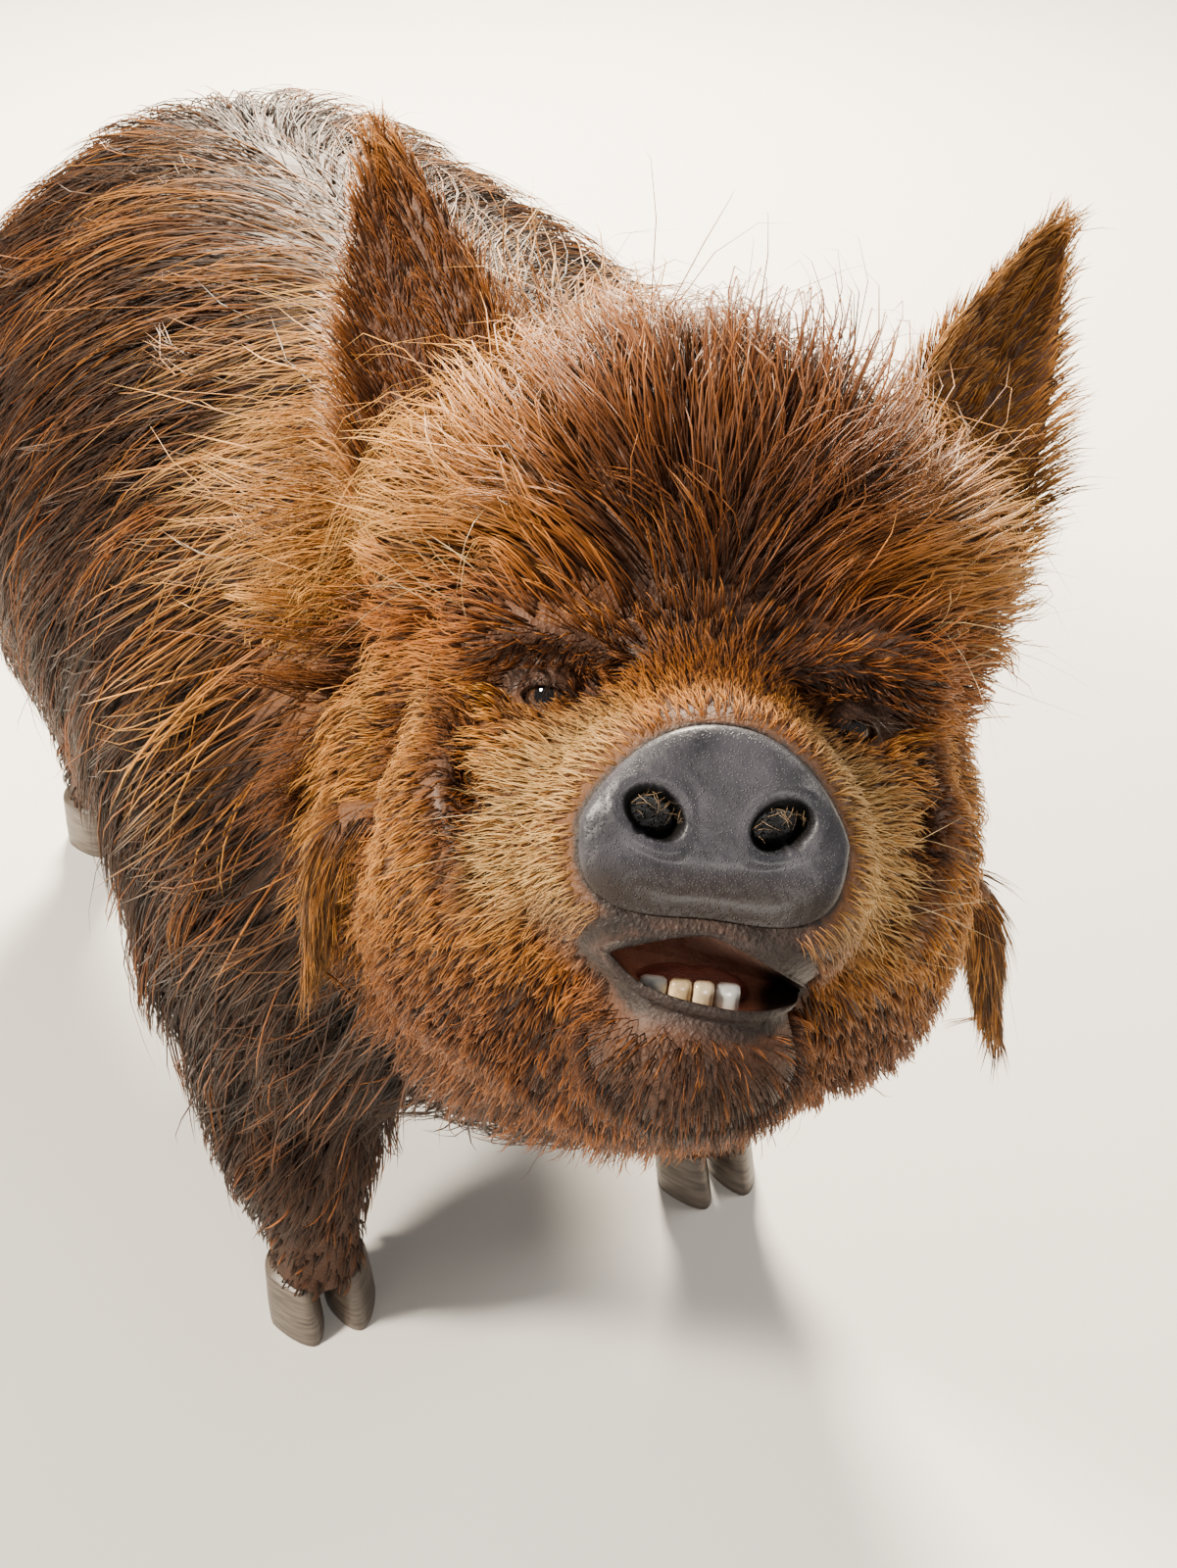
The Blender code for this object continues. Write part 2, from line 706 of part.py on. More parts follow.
def ear_frame(sign):
    """Frame of an ear: Z from root to tip, Y towards the back of the cup."""
    mirror = Vector((sign, 1.0, 1.0))
    root = HEAD_FRAME @ (EAR_ROOT * mirror)
    tip = HEAD_FRAME @ (EAR_TIP * mirror)
    rise = (tip - root).normalized()
    cup = HEAD_FRAME.to_3x3() @ Vector((-0.42 * sign, 1.0, 0.0))
    back = (cup - rise * cup.dot(rise)).normalized()
    across = back.cross(rise)
    axes = Matrix((across, back, rise)).transposed().to_4x4()
    return Matrix.Translation(root) @ axes, (tip - root).length


def fringe(frame, root, heading, normal, coat, length):
    """One lock of a fringe, in the frame of what it grows from."""
    heading = heading.normalized()
    path = []
    for share in STATIONS:
        path.append(np.array(frame @ (root + heading * (length * share) + normal * (0.25 * length * share * share))))
    away = np.array((frame.to_3x3() @ normal).normalized())
    return make_lock(np.array(path), [away] * len(path), coat)


def make_ear(side, sign):
    """A cupped leaf of an ear, open to the front, with hair along its rims and at its tip."""
    frame, length = ear_frame(sign)
    rows = 7
    columns = 6
    sections = []
    for row in range(rows):
        t = row / (rows - 1)
        half = EAR_HALF_WIDTH * (0.80 + 0.75 * t - 1.48 * t**2.2) + 0.0025
        depth = 0.024 * (1.0 - t) ** 0.8 + 0.003
        thick = EAR_THICKNESS * (1.0 - 0.55 * t)
        height = -0.030 + t * (length + 0.030)
        outer = []
        inner = []
        for column in range(columns + 1):
            v = 2 * column / columns - 1
            y = depth * (1.0 - v * v) - 0.018 * t * t
            outer.append(frame @ Vector((half * v, y + thick / 2, height)))
            inner.append(frame @ Vector((half * v * 0.96, y - thick / 2, height)))
        sections.append(outer + inner[::-1])
    ear = rings(f"ear_{side}", sections)
    back = Vector((0.0, 1.0, 0.0))
    hairs = [fringe(frame, Vector((0.0, -0.016, length - 0.016)), Vector((0.0, -0.1, 1.0)), back, FRINGE_LOCKS, 0.042)]
    for edge in (-1.0, 1.0):
        for share in (0.35, 0.68):
            half = EAR_HALF_WIDTH * (0.80 + 0.75 * share - 1.48 * share**2.2)
            root = Vector((edge * (half - 0.012), 0.004 - 0.018 * share * share, share * (length + 0.030) - 0.030))
            heading = Vector((edge * 0.55, -0.25, 1.0))
            hairs.append(fringe(frame, root, heading, -back, FRINGE_LOCKS, 0.050))
    return thin_closed(unite(ear, hairs), EAR_TRIANGLES)


def wattle_frame(root):
    """Frame of a wattle: X away from the head, Z straight up."""
    outward = HEAD_FRAME.to_3x3() @ Vector((root.x, 0.0, 0.0))
    outward.z = 0.0
    outward.normalize()
    up = Vector((0.0, 0.0, 1.0))
    axes = Matrix((outward, up.cross(outward), up)).transposed().to_4x4()
    return Matrix.Translation(HEAD_FRAME @ root) @ axes


def make_wattle(side, root):
    """A tassel of skin that hangs from the jowl."""
    frame = wattle_frame(root)
    start = frame.to_translation()
    outward = frame.to_3x3() @ Vector((1.0, 0.0, 0.0))
    down = Vector((0.0, 0.0, -1.0))
    path = []
    radii = []
    for k in range(8):
        t = k / 7
        reach = WATTLE_LENGTH * t
        path.append(start + down * reach + outward * 0.024 * (1 - (1 - t) ** 4))
        radii.append(0.0125 * (1 - t) ** 0.6 + 0.003)
    path.insert(0, start - outward * 0.030 + Vector((0.0, 0.0, 0.010)))
    radii.insert(0, 0.015)
    wattle = tube(f"wattle_{side}", path, radii, sides=8)
    hairs = []
    for share, turn in ((0.45, 0.4), (0.70, 3.2)):
        root = frame.inverted() @ path[1 + round(share * 7)]
        side_step = Vector((math.cos(turn), math.sin(turn), 0.0))
        heading = Vector((0.0, 0.0, -1.0)) + side_step * 0.15
        hairs.append(fringe(frame, root + side_step * 0.004, heading, side_step, FRINGE_LOCKS, 0.046))
    return thin_closed(unite(wattle, hairs), WATTLE_TRIANGLES)


def make_tail():
    """The tail, hanging from the rump in a loose bend."""
    root = Vector((0.0, TRUNK_LENGTH + 0.165, CHEST_HEIGHT + 0.105))
    path = []
    radii = []
    for k in range(12):
        t = k / 11
        hang = Vector((0.022 * math.sin(3.0 * t), 0.062 * (1 - math.exp(-6 * t)), -0.20 * t * t - 0.015 * t))
        path.append(root + hang)
        radii.append(0.019 * (1 - t) ** 0.8 + 0.005)
    path.insert(0, root + Vector((0.0, -0.05, 0.012)))
    radii.insert(0, 0.022)
    tail = tube("tail", path, radii, sides=8)
    hairs = []
    for row in (1, 3, 5):
        root = path[5 + row]
        turn = 2.4 * row
        side_step = Vector((math.cos(turn), math.sin(turn), 0.0))
        heading = Vector((0.0, 0.0, -1.0)) + side_step * 0.30
        hairs.append(fringe(Matrix.Identity(4), root, heading, side_step, FRINGE_LOCKS, 0.070))
    return thin_closed(unite(tail, hairs), TAIL_TRIANGLES)


def make_claw(name, place, sign):
    """One main claw of a cloven hoof, standing flat on the floor."""
    sections = []
    for z, shrink, push in ((0.0, 1.0, 0.0), (0.016, 0.97, 0.003), (HOOF_HEIGHT - GAP, 0.86, 0.008)):
        ring = []
        for k in range(12):
            angle = 2 * math.pi * k / 12
            x = 0.0168 * math.cos(angle)
            y = 0.026 * math.sin(angle)
            if y < 0:
                x = x * (1 + y * 12) - sign * y * 0.12
                y = y * 1.12
            ring.append(place + Vector((x * shrink, y * shrink + push, z)))
        sections.append(ring)
    return paint(rings(name, sections), HORN, 0.45)


def make_dewclaw(place, sign):
    """A small claw behind the pastern, its tip clear of the floor."""
    path = [place + Vector((0.0, -0.018, 0.010)), place, place + Vector((sign * 0.002, 0.008, -0.014))]
    return tube("dewclaw", path, [0.0090, 0.0090, 0.0045], sides=6)


def make_disc():
    """The rooting disc: an oval plate with a rounded rim and two nostrils."""
    sections = []
    profile = ((DISC_DEPTH - GAP, 0.93), (0.013, 0.985), (0.007, 1.0), (0.0025, 0.975), (0.0, 0.90), (0.0015, 0.6))
    for y, size in profile:
        ring = []
        for k in range(22):
            angle = 2 * math.pi * k / 22
            c = math.cos(angle)
            s = math.sin(angle)
            x = DISC_HALF_WIDTH * size * math.copysign(abs(c) ** 0.88, c)
            height = DISC_HALF_HEIGHT * (1.0 if s > 0 else 0.92)
            z = height * size * math.copysign(abs(s) ** 0.88, s)
            ring.append(HEAD_FRAME @ Vector((x, y, z)))
        sections.append(ring)
    disc = rings("snout_disc", sections)
    for _, _, place in sides_of((NOSTRIL_SPREAD, 0.0, 0.004)):
        nostril = ball("tool", HEAD_FRAME, place, (0.0095, 0.0155, 0.0076), 10, 8)
        boolean(disc, "DIFFERENCE", nostril)
        discard(nostril)
    return paint(keep_largest(disc), SLATE, 0.35)


def open_face(head):
    """Carves the mouth, and seats each eye behind its lids."""
    seat = box(HEAD_FRAME, (-0.07, -0.10, -0.0445), (0.07, DISC_DEPTH, 0.12))
    boolean(head, "DIFFERENCE", seat)
    discard(seat)
    mouth = ball("tool", HEAD_FRAME, (MOUTH_SHIFT, 0.034, MOUTH_HEIGHT), MOUTH_SIZE, 18, 8)
    boolean(head, "DIFFERENCE", mouth)
    discard(mouth)
    keep_largest(head)
    for side, sign, place in sides_of(EYE_PLACE):
        looking = HEAD_FRAME @ Matrix.Translation(place) @ Matrix.Rotation(math.radians(24 * sign), 4, "Z")
        shell = EYE_RADIUS + LID
        unite(head, [ball("lids", looking, (0, 0, 0), (shell, shell, shell))])
        hole = EYE_RADIUS + GAP
        socket = ball("tool", looking, (0, 0, 0), (hole, hole, hole))
        slit = ball("tool", looking, (0.0, -0.022, 0.0), (0.0125, 0.021, 0.0052), 10, 6)
        boolean(head, "DIFFERENCE", socket)
        boolean(head, "DIFFERENCE", slit)
        discard(socket)
        discard(slit)
        paint(ball(f"eye_{side}", looking, (0, 0, 0), (EYE_RADIUS, EYE_RADIUS, EYE_RADIUS)), EYE_BROWN, 0.1)
    keep_largest(head)


def make_teeth():
    """The four lower incisors that the open mouth shows."""
    teeth = []
    for number, (x, width) in enumerate(((-0.0125, 0.0074), (-0.0042, 0.0080), (0.0042, 0.0080), (0.0125, 0.0074))):
        front = 0.0205 + 30.0 * x * x
        sections = []
        for z, size, push in ((-0.070, 1.0, 0.004), (-0.060, 1.0, 0.002), (-0.0520, 0.98, 0.0), (-0.0495, 0.72, 0.001)):
            ring = []
            for k in range(8):
                angle = 2 * math.pi * k / 8
                across = MOUTH_SHIFT + x + width / 2 * size * math.copysign(abs(math.cos(angle)) ** 0.7, math.cos(angle))
                ring.append(HEAD_FRAME @ Vector((across, front + push + 0.003 * size * math.sin(angle), z)))
            sections.append(ring)
        teeth.append(rings(f"tooth_{number}", sections))
    return teeth


def stand_at_origin():
    """Slides the whole pig along the floor until its box is centred on the origin."""
    corners = [np.array([vertex.co for vertex in obj.data.vertices]) for obj in bpy.data.objects]
    low = np.min([points.min(axis=0) for points in corners], axis=0)
    high = np.max([points.max(axis=0) for points in corners], axis=0)
    shift = -(low + high) / 2
    for obj in bpy.data.objects:
        obj.data.transform(Matrix.Translation(Vector((shift[0], shift[1], 0.0))))


def main():
    """Builds the whole pig."""
    for obj in list(bpy.data.objects):
        bpy.data.objects.remove(obj)
    world = Matrix.Identity(4)

    dewclaws = []
    for end, y in (("fore", FORE_FOOT), ("hind", HIND_FOOT)):
        for side, sign, foot in sides_of((LEG_SPREAD, y, 0.0)):
            for row, step in (("inner", -sign), ("outer", sign)):
                place = foot + Vector((step * CLAW_SPREAD, -0.004, 0.0))
                make_claw(f"hoof_{end}_{side}_{row}", place, -step)
                dewclaws.append(make_dewclaw(foot + Vector((step * 0.014, 0.031, 0.064)), step))
    trunk = make_trunk(dewclaws)
    paint(cut_by(make_tail(), trunk), GINGER)

    head = make_head()
    open_face(head)
    make_disc()
    for side, sign, root in sides_of(WATTLE_ROOT):
        paint(cut_by(make_ear(side, sign), head), GINGER)
        paint(cut_by(make_wattle(side, root), head), GINGER)
    tongue = ball("tongue", HEAD_FRAME, (MOUTH_SHIFT, 0.072, JAW_LINE), (0.024, 0.036, 0.0085), 12, 8)
    unite(head, [tongue])

    discard(part_off(head, "spare_back", HEAD_FRAME, (-0.5, NECK_CUT, -0.5), (0.5, 0.9, 0.5)))
    discard(part_off(trunk, "spare_front", HEAD_FRAME, (-0.5, -0.9, -0.5), (0.5, NECK_CUT, 0.5)))
    jaw = part_off(head, "jaw", HEAD_FRAME, (-0.058, -0.10, -0.20), (0.058, 0.098, JAW_LINE))
    unite(jaw, make_teeth())
    keep_largest(jaw)
    paint(jaw, HIDE)
    tongue = part_off(head, "tongue", HEAD_FRAME, (-0.024, 0.0, JAW_LINE), (0.034, 0.078, JAW_LINE + 0.0105))
    paint(tongue, TONGUE, 0.3)
    paint(head, GINGER)

    reach = 0.13
    for end, y in (("foreleg", -0.02), ("hindleg", TRUNK_LENGTH + 0.06)):
        for side, sign, place in sides_of((0.06, y, LEG_TOP)):
            lean = Matrix.Translation(place) @ Matrix.Rotation(-LEG_TILT * sign, 4, "Y")
            low = (-0.045, -reach, -0.3) if sign > 0 else (-0.3, -reach, -0.3)
            high = (0.3, reach, 0.0) if sign > 0 else (0.045, reach, 0.0)
            leg = part_off(trunk, f"{end}_{side}", lean, low, high)
            floor = box(world, (-1, -1, -1), (1, 2, HOOF_HEIGHT))
            boolean(leg, "DIFFERENCE", floor)
            discard(floor)
            paint(keep_largest(leg), GINGER)
    neck_axis = (from_head((0.0, 0.215, 0.010)) - Vector((0, -0.03, CHEST_HEIGHT))).normalized()
    turn = neck_axis.to_track_quat("Z", "Y").to_matrix().to_4x4()
    neck_frame = Matrix.Translation(Vector((0.0, -0.03, CHEST_HEIGHT + 0.02)) + neck_axis * 0.085) @ turn
    paint(part_off(trunk, "neck", neck_frame, (-0.5, -0.5, 0.0), (0.5, 0.5, 1.0)), GINGER)
    paint(part_off(trunk, "rump", world, (-0.5, RUMP_CUT, -0.2), (0.5, 1.2, 1.0)), GINGER)
    paint(part_off(trunk, "barrel", world, (-0.5, SHOULDER_CUT, -0.2), (0.5, 0.7, 1.0)), GINGER)
    trunk.name = "shoulders"
    paint(trunk, GINGER)
    stand_at_origin()
    for obj in bpy.data.objects:
        obj.data.shade_smooth()
        obj.data.set_sharp_from_angle(angle=math.radians(38))


if __name__ == "__main__":
    main()
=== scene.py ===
"""A still, life-size kunekune pig: head raised, mouth a little open, wet ginger coat.

Metres, +Z up. The nose points to -Y and the pig's left side is +X.
The hide is one closed skin, and the coat is solid hair in wet clumps that follows its lie.
"""

import logging
import math
from dataclasses import dataclass, fields, replace
from enum import Enum

import bmesh
import bpy
import numpy as np
from bpy.types import ID, Material, Mesh, Node, NodeTree, Object
from bpy.types import NodeSocket as Socket
from mathutils import Matrix, Vector
from mathutils.kdtree import KDTree


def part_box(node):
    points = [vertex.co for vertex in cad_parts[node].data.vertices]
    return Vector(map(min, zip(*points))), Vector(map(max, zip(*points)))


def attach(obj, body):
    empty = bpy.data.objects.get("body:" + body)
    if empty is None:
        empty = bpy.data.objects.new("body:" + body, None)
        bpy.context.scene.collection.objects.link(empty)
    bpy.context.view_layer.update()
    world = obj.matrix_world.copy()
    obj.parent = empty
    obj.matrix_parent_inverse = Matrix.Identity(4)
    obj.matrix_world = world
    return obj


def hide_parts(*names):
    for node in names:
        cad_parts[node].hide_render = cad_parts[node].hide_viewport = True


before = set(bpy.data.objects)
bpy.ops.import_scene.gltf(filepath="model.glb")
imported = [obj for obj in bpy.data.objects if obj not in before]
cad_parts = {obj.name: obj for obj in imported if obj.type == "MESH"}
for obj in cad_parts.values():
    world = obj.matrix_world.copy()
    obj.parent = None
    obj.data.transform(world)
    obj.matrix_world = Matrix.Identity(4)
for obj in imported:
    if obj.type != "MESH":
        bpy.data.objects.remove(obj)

LOG = logging.getLogger("kunekune")
Array = np.ndarray
Triple = tuple[float, float, float]  # a place, sizes or a colour
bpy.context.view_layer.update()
PIECE_LIMIT = 190000  # triangles in one piece of coat
POINTS_AT_ONCE = 300000  # keeps the tables of distances small


def unit(vectors: Array) -> Array:
    """Scales each row to length one."""
    return vectors / np.maximum(np.linalg.norm(vectors, axis=1, keepdims=True), 1e-9)


def smooth_step(low: float, high: float, values: Array) -> Array:
    """Rises smoothly from 0 at low to 1 at high, or falls where high is below low."""
    share = np.clip((values - low) / (high - low), 0.0, 1.0)
    return share * share * (3.0 - 2.0 * share)


def area(*bounds: tuple[Array, float, float]) -> Array:
    """Where several smooth steps are all up, each given by its values and where it starts and ends."""
    return math.prod(smooth_step(start, end, values) for values, start, end in bounds)


def bell(values: Array, middle: float, width: float) -> Array:
    """A soft peak of height one round a middle."""
    return np.exp(-(((values - middle) / width) ** 2))


def columns(*parts: Array | float) -> Array:
    """Puts values side by side, a single number standing for its whole column."""
    return np.stack(np.broadcast_arrays(*parts), axis=1)


def full_turn(count: int) -> Array:
    """Angles evenly spread round a circle."""
    return np.linspace(0, 2 * math.pi, count, endpoint=False)


def blended(distances: Array, blend: float) -> Array:
    """Joins the rows of distances into one body with soft creases."""
    return -blend * np.log(np.exp(-np.clip(distances / blend, -60, 60)).sum(axis=0))


def polar_ratio(rim: Array, places: Array) -> Array:
    """How far places of a plane are from its origin, the rim round it being one."""
    around = np.arctan2(rim[:, 1], rim[:, 0])
    order = np.argsort(around)
    reach = np.hypot(rim[:, 0], rim[:, 1])[order]
    edge = np.interp(np.arctan2(places[:, 1], places[:, 0]), around[order], reach, period=2 * math.pi)
    return np.hypot(places[:, 0], places[:, 1]) / edge


def mirrored(point: Triple, sign: float) -> Vector:
    """The point's place on the side that the sign gives."""
    return Vector((point[0] * sign, point[1], point[2]))


def moved(matrix: Matrix, points: Array) -> Array:
    """Points taken through a matrix."""
    table = np.array(matrix)
    return points @ table[:3, :3].T + table[:3, 3]


@dataclass(frozen=True)
class Pose:
    """Where the head is and how it is turned about the rooting disc."""

    disc: Triple = (-0.08, -0.411, 0.655)
    turn: float = math.radians(-19.5)
    raised: float = math.radians(-37.8)
    lean: float = math.radians(9.0)

    @property
    def matrix(self) -> Matrix:
        """Frame of the head: X to the pig's left, Y back from the disc, Z up."""
        turn = Matrix.Rotation(self.turn, 4, "Z")
        raised = Matrix.Rotation(self.raised, 4, "X")
        return Matrix.Translation(self.disc) @ turn @ raised @ Matrix.Rotation(self.lean, 4, "Y")

    @property
    def axes(self) -> Array:
        """The frame's axes as columns."""
        return np.array(self.matrix.to_3x3())

    def local(self, points: Array) -> Array:
        """Points of the world in the head's frame."""
        return (points - np.array(self.disc)) @ self.axes

    def world(self, points: Array) -> Array:
        """Points of the head's frame in the world."""
        return points @ self.axes.T + np.array(self.disc)

    def place(self, x: Array | float, y: Array | float, z: Array | float) -> Array:
        """The world's points for coordinates of the head's frame, any of them one number for all."""
        return self.world(columns(x, y, z))


POSE = Pose()
HEAD = POSE.matrix
NECK_CUT = 0.247  # head meets trunk this far behind the disc
OVERLAP = 0.03  # how far each of them goes on past that place


@dataclass(frozen=True)
class Form:
    """One mass of flesh: an ellipsoid, or a tapered limb where it has a far end."""

    a: Triple
    size: tuple[float, ...]
    coat: float
    b: Triple | None = None
    paired: bool = False

    def distance(self, points: Array) -> Array:
        """How far each point is from the form."""
        a = np.array(self.a)
        if self.b is None:
            radii = np.array(self.size)
            local = points - a
            near = np.maximum(np.linalg.norm(local / radii, axis=1), 1e-6)
            slope = np.linalg.norm(local / radii**2, axis=1)
            return (near - 1.0) * near / np.maximum(slope, near / radii.max())
        along = np.array(self.b) - a
        share = np.clip((points - a) @ along / (along @ along), 0.0, 1.0)
        radius = self.size[0] + share * (self.size[1] - self.size[0])
        return np.linalg.norm(points - a - share[:, None] * along, axis=1) - radius

    def other_side(self) -> "Form":
        """The same form on the pig's right."""
        far = None if self.b is None else (-self.b[0], self.b[1], self.b[2])
        return replace(self, a=(-self.a[0], self.a[1], self.a[2]), b=far)


def both_sides(forms: list[Form]) -> list[Form]:
    """Adds the right one of each paired form."""
    return forms + [form.other_side() for form in forms if form.paired]


def chain(coat: float, *stops: tuple[float, float, float, float]) -> list[Form]:
    """Paired limbs from stop to stop, each stop a place and a radius."""
    return [Form(a[:3], (a[3], b[3]), coat, b[:3], True) for a, b in zip(stops, stops[1:])]


@dataclass(frozen=True)
class Flesh:
    """The animal's body without ears, wattles and tail, as forms that run into each other."""

    chest_height: float = 0.44
    half_width: float = 0.215
    length: float = 0.45
    spread: float = 0.142
    trunk_blend: float = 0.02
    head_blend: float = 0.009

    def trunk(self) -> list[Form]:
        """Chest, barrel, rump, neck and legs, in the world."""
        z = self.chest_height
        w = self.half_width
        rump = self.length
        s = self.spread
        knee = (s, -0.005, 0.155)
        hock = (s + 0.003, rump + 0.128, 0.19)
        poll = tuple(HEAD @ Vector((0.0, 0.215, 0.01)))
        crest = tuple(HEAD @ Vector((0.0, 0.205, 0.095)))
        throat = tuple(HEAD @ Vector((0.0, 0.18, -0.042)))
        return both_sides(
            [
                Form((0, 0.01, z - 0.005), (w - 0.03, 0.21, 0.19), 0.024),
                Form((0, 0.23, z), (w, 0.36, 0.199), 0.026),
                Form((0, 0.22, z - 0.085), (w - 0.028, 0.27, 0.15), 0.018),
                Form((0, rump, z - 0.005), (w - 0.045, 0.175, 0.185), 0.022),
                Form((0.132, 0.0, z - 0.065), (0.074, 0.11, 0.17), 0.02, paired=True),
                Form((0.116, rump + 0.03, z - 0.07), (0.088, 0.125, 0.17), 0.018, paired=True),
                Form((0.136, 0.005, z - 0.145), (0.06, 0.036), 0.012, knee, True),
                Form(knee, (0.034, 0.027), 0.006, (s, -0.012, 0.045), True),
                Form((0.128, rump + 0.035, z - 0.13), (0.08, 0.036), 0.012, hock, True),
                Form(hock, (0.032, 0.026), 0.006, (s, rump + 0.098, 0.045), True),
                Form((0, -0.03, z + 0.01), (0.175, 0.108), 0.028, poll),
                Form((0, 0.03, z + 0.13), (0.072, 0.076), 0.036, crest),
                Form((0, -0.11, z - 0.09), (0.105, 0.074), 0.02, throat),
            ]
        )

    def head(self) -> list[Form]:
        """Snout, jaw, cheeks, folds, brow and skull, in the head's frame."""
        return both_sides(
            [
                Form((0, 0.01, 0.0), (0.037, 0.049), 0.002, (0, 0.085, 0.004)),
                Form((0, 0.03, 0.016), (0.022, 0.036), 0.004, (0, 0.108, 0.05)),
                Form((0.025, 0.04, -0.022), (0.025, 0.032, 0.022), 0.002, paired=True),
                Form((0, 0.034, 0.0), (0.05, 0.022, 0.04), 0.004),
                Form((0.026, 0.042, -0.01), (0.026, 0.033), 0.005, (0.052, 0.105, -0.012), True),
                Form((0.002, 0.024, -0.033), (0.037, 0.019, 0.013), 0.001),
                Form((0.061, 0.122, -0.02), (0.043, 0.066, 0.056), 0.008, paired=True),
                Form((0.077, 0.172, -0.038), (0.04, 0.068, 0.052), 0.014, paired=True),
                Form((0, 0.172, 0.085), (0.096, 0.075, 0.092), 0.022),
                Form((0, 0.145, 0.135), (0.086, 0.052, 0.064), 0.036),
                Form((0.06, 0.114, 0.074), (0.036, 0.027, 0.02), 0.014, paired=True),
                Form((0.06, 0.098, 0.014), (0.028, 0.029, 0.022), 0.005, paired=True),
                Form((0.003, 0.04, -0.077), (0.024, 0.056), 0.01, (0, 0.15, -0.066)),
                Form((0.004, 0.04, -0.083), (0.036, 0.028, 0.023), 0.014),
                Form((0.096, 0.185, 0.12), (0.04, 0.038, 0.048), 0.012, paired=True),
            ]
        ) + self.ridges()

    def ridges(self) -> list[Form]:
        """Two soft folds down each cheek, in the head's frame."""
        front = ((0.09, 0.158, 0.046, 0.01), (0.098, 0.11, 0.002, 0.013), (0.101, 0.12, -0.03, 0.009))
        rear = ((0.108, 0.18, 0.072, 0.009), (0.12, 0.212, 0.022, 0.015), (0.128, 0.226, -0.018, 0.012))
        return both_sides(chain(0.004, *front) + chain(0.006, *rear))

    def creases(self) -> list[Form]:
        """Grooves between the folds and under the brow, as limbs that are cut away."""
        front = ((0.088, 0.118, 0.04, 0.004), (0.087, 0.072, 0.004, 0.006), (0.084, 0.062, -0.024, 0.004))
        middle = ((0.106, 0.162, 0.044, 0.006), (0.118, 0.158, 0.004, 0.011), (0.122, 0.178, -0.03, 0.007))
        rear = ((0.124, 0.196, 0.086, 0.01), (0.146, 0.242, 0.044, 0.015), (0.152, 0.256, 0.0, 0.011))
        brow = ((0.036, 0.078, 0.058, 0.006), (0.075, 0.092, 0.06, 0.005))
        return both_sides([limb for stops in (front, middle, rear, brow) for limb in chain(0, *stops)])

    def distance(self, points: Array) -> Array:
        """Signed distance of each point from the skin."""
        result = np.empty(len(points))
        trunk = self.trunk()
        head = self.head()
        creases = self.creases()
        for start in range(0, len(points), POINTS_AT_ONCE):
            part = points[start : start + POINTS_AT_ONCE]
            whole = blended(np.stack([form.distance(part) for form in trunk]), self.trunk_blend)
            local = POSE.local(part)
            near = local[:, 1] < 0.42
            if near.any():
                face = blended(np.stack([form.distance(local[near]) for form in head]), self.head_blend)
                joined = blended(np.stack([face, whole[near]]), 0.014)
                grooves = blended(np.stack([form.distance(local[near]) for form in creases]), 0.004)
                end = local[near][:, 1] - 0.0068 + 0.27 * np.clip(-local[near][:, 2] - 0.017, 0, 0.02)
                whole[near] = -blended(np.stack([-joined, grooves, end]), 0.0035)
            result[start : start + POINTS_AT_ONCE] = whole
        return result

    def coat_depth(self, points: Array) -> Array:
        """Depth of the coat at each point, from the forms near it."""
        local = POSE.local(points)
        trunk = self.trunk()
        head = self.head()
        away = [form.distance(points) for form in trunk] + [form.distance(local) for form in head]
        weights = np.exp(-np.clip(np.stack(away) / 0.012, -30, 30))
        depths = np.array([form.coat for form in trunk + head])
        return (weights * depths[:, None]).sum(axis=0) / weights.sum(axis=0)


FLESH = Flesh()


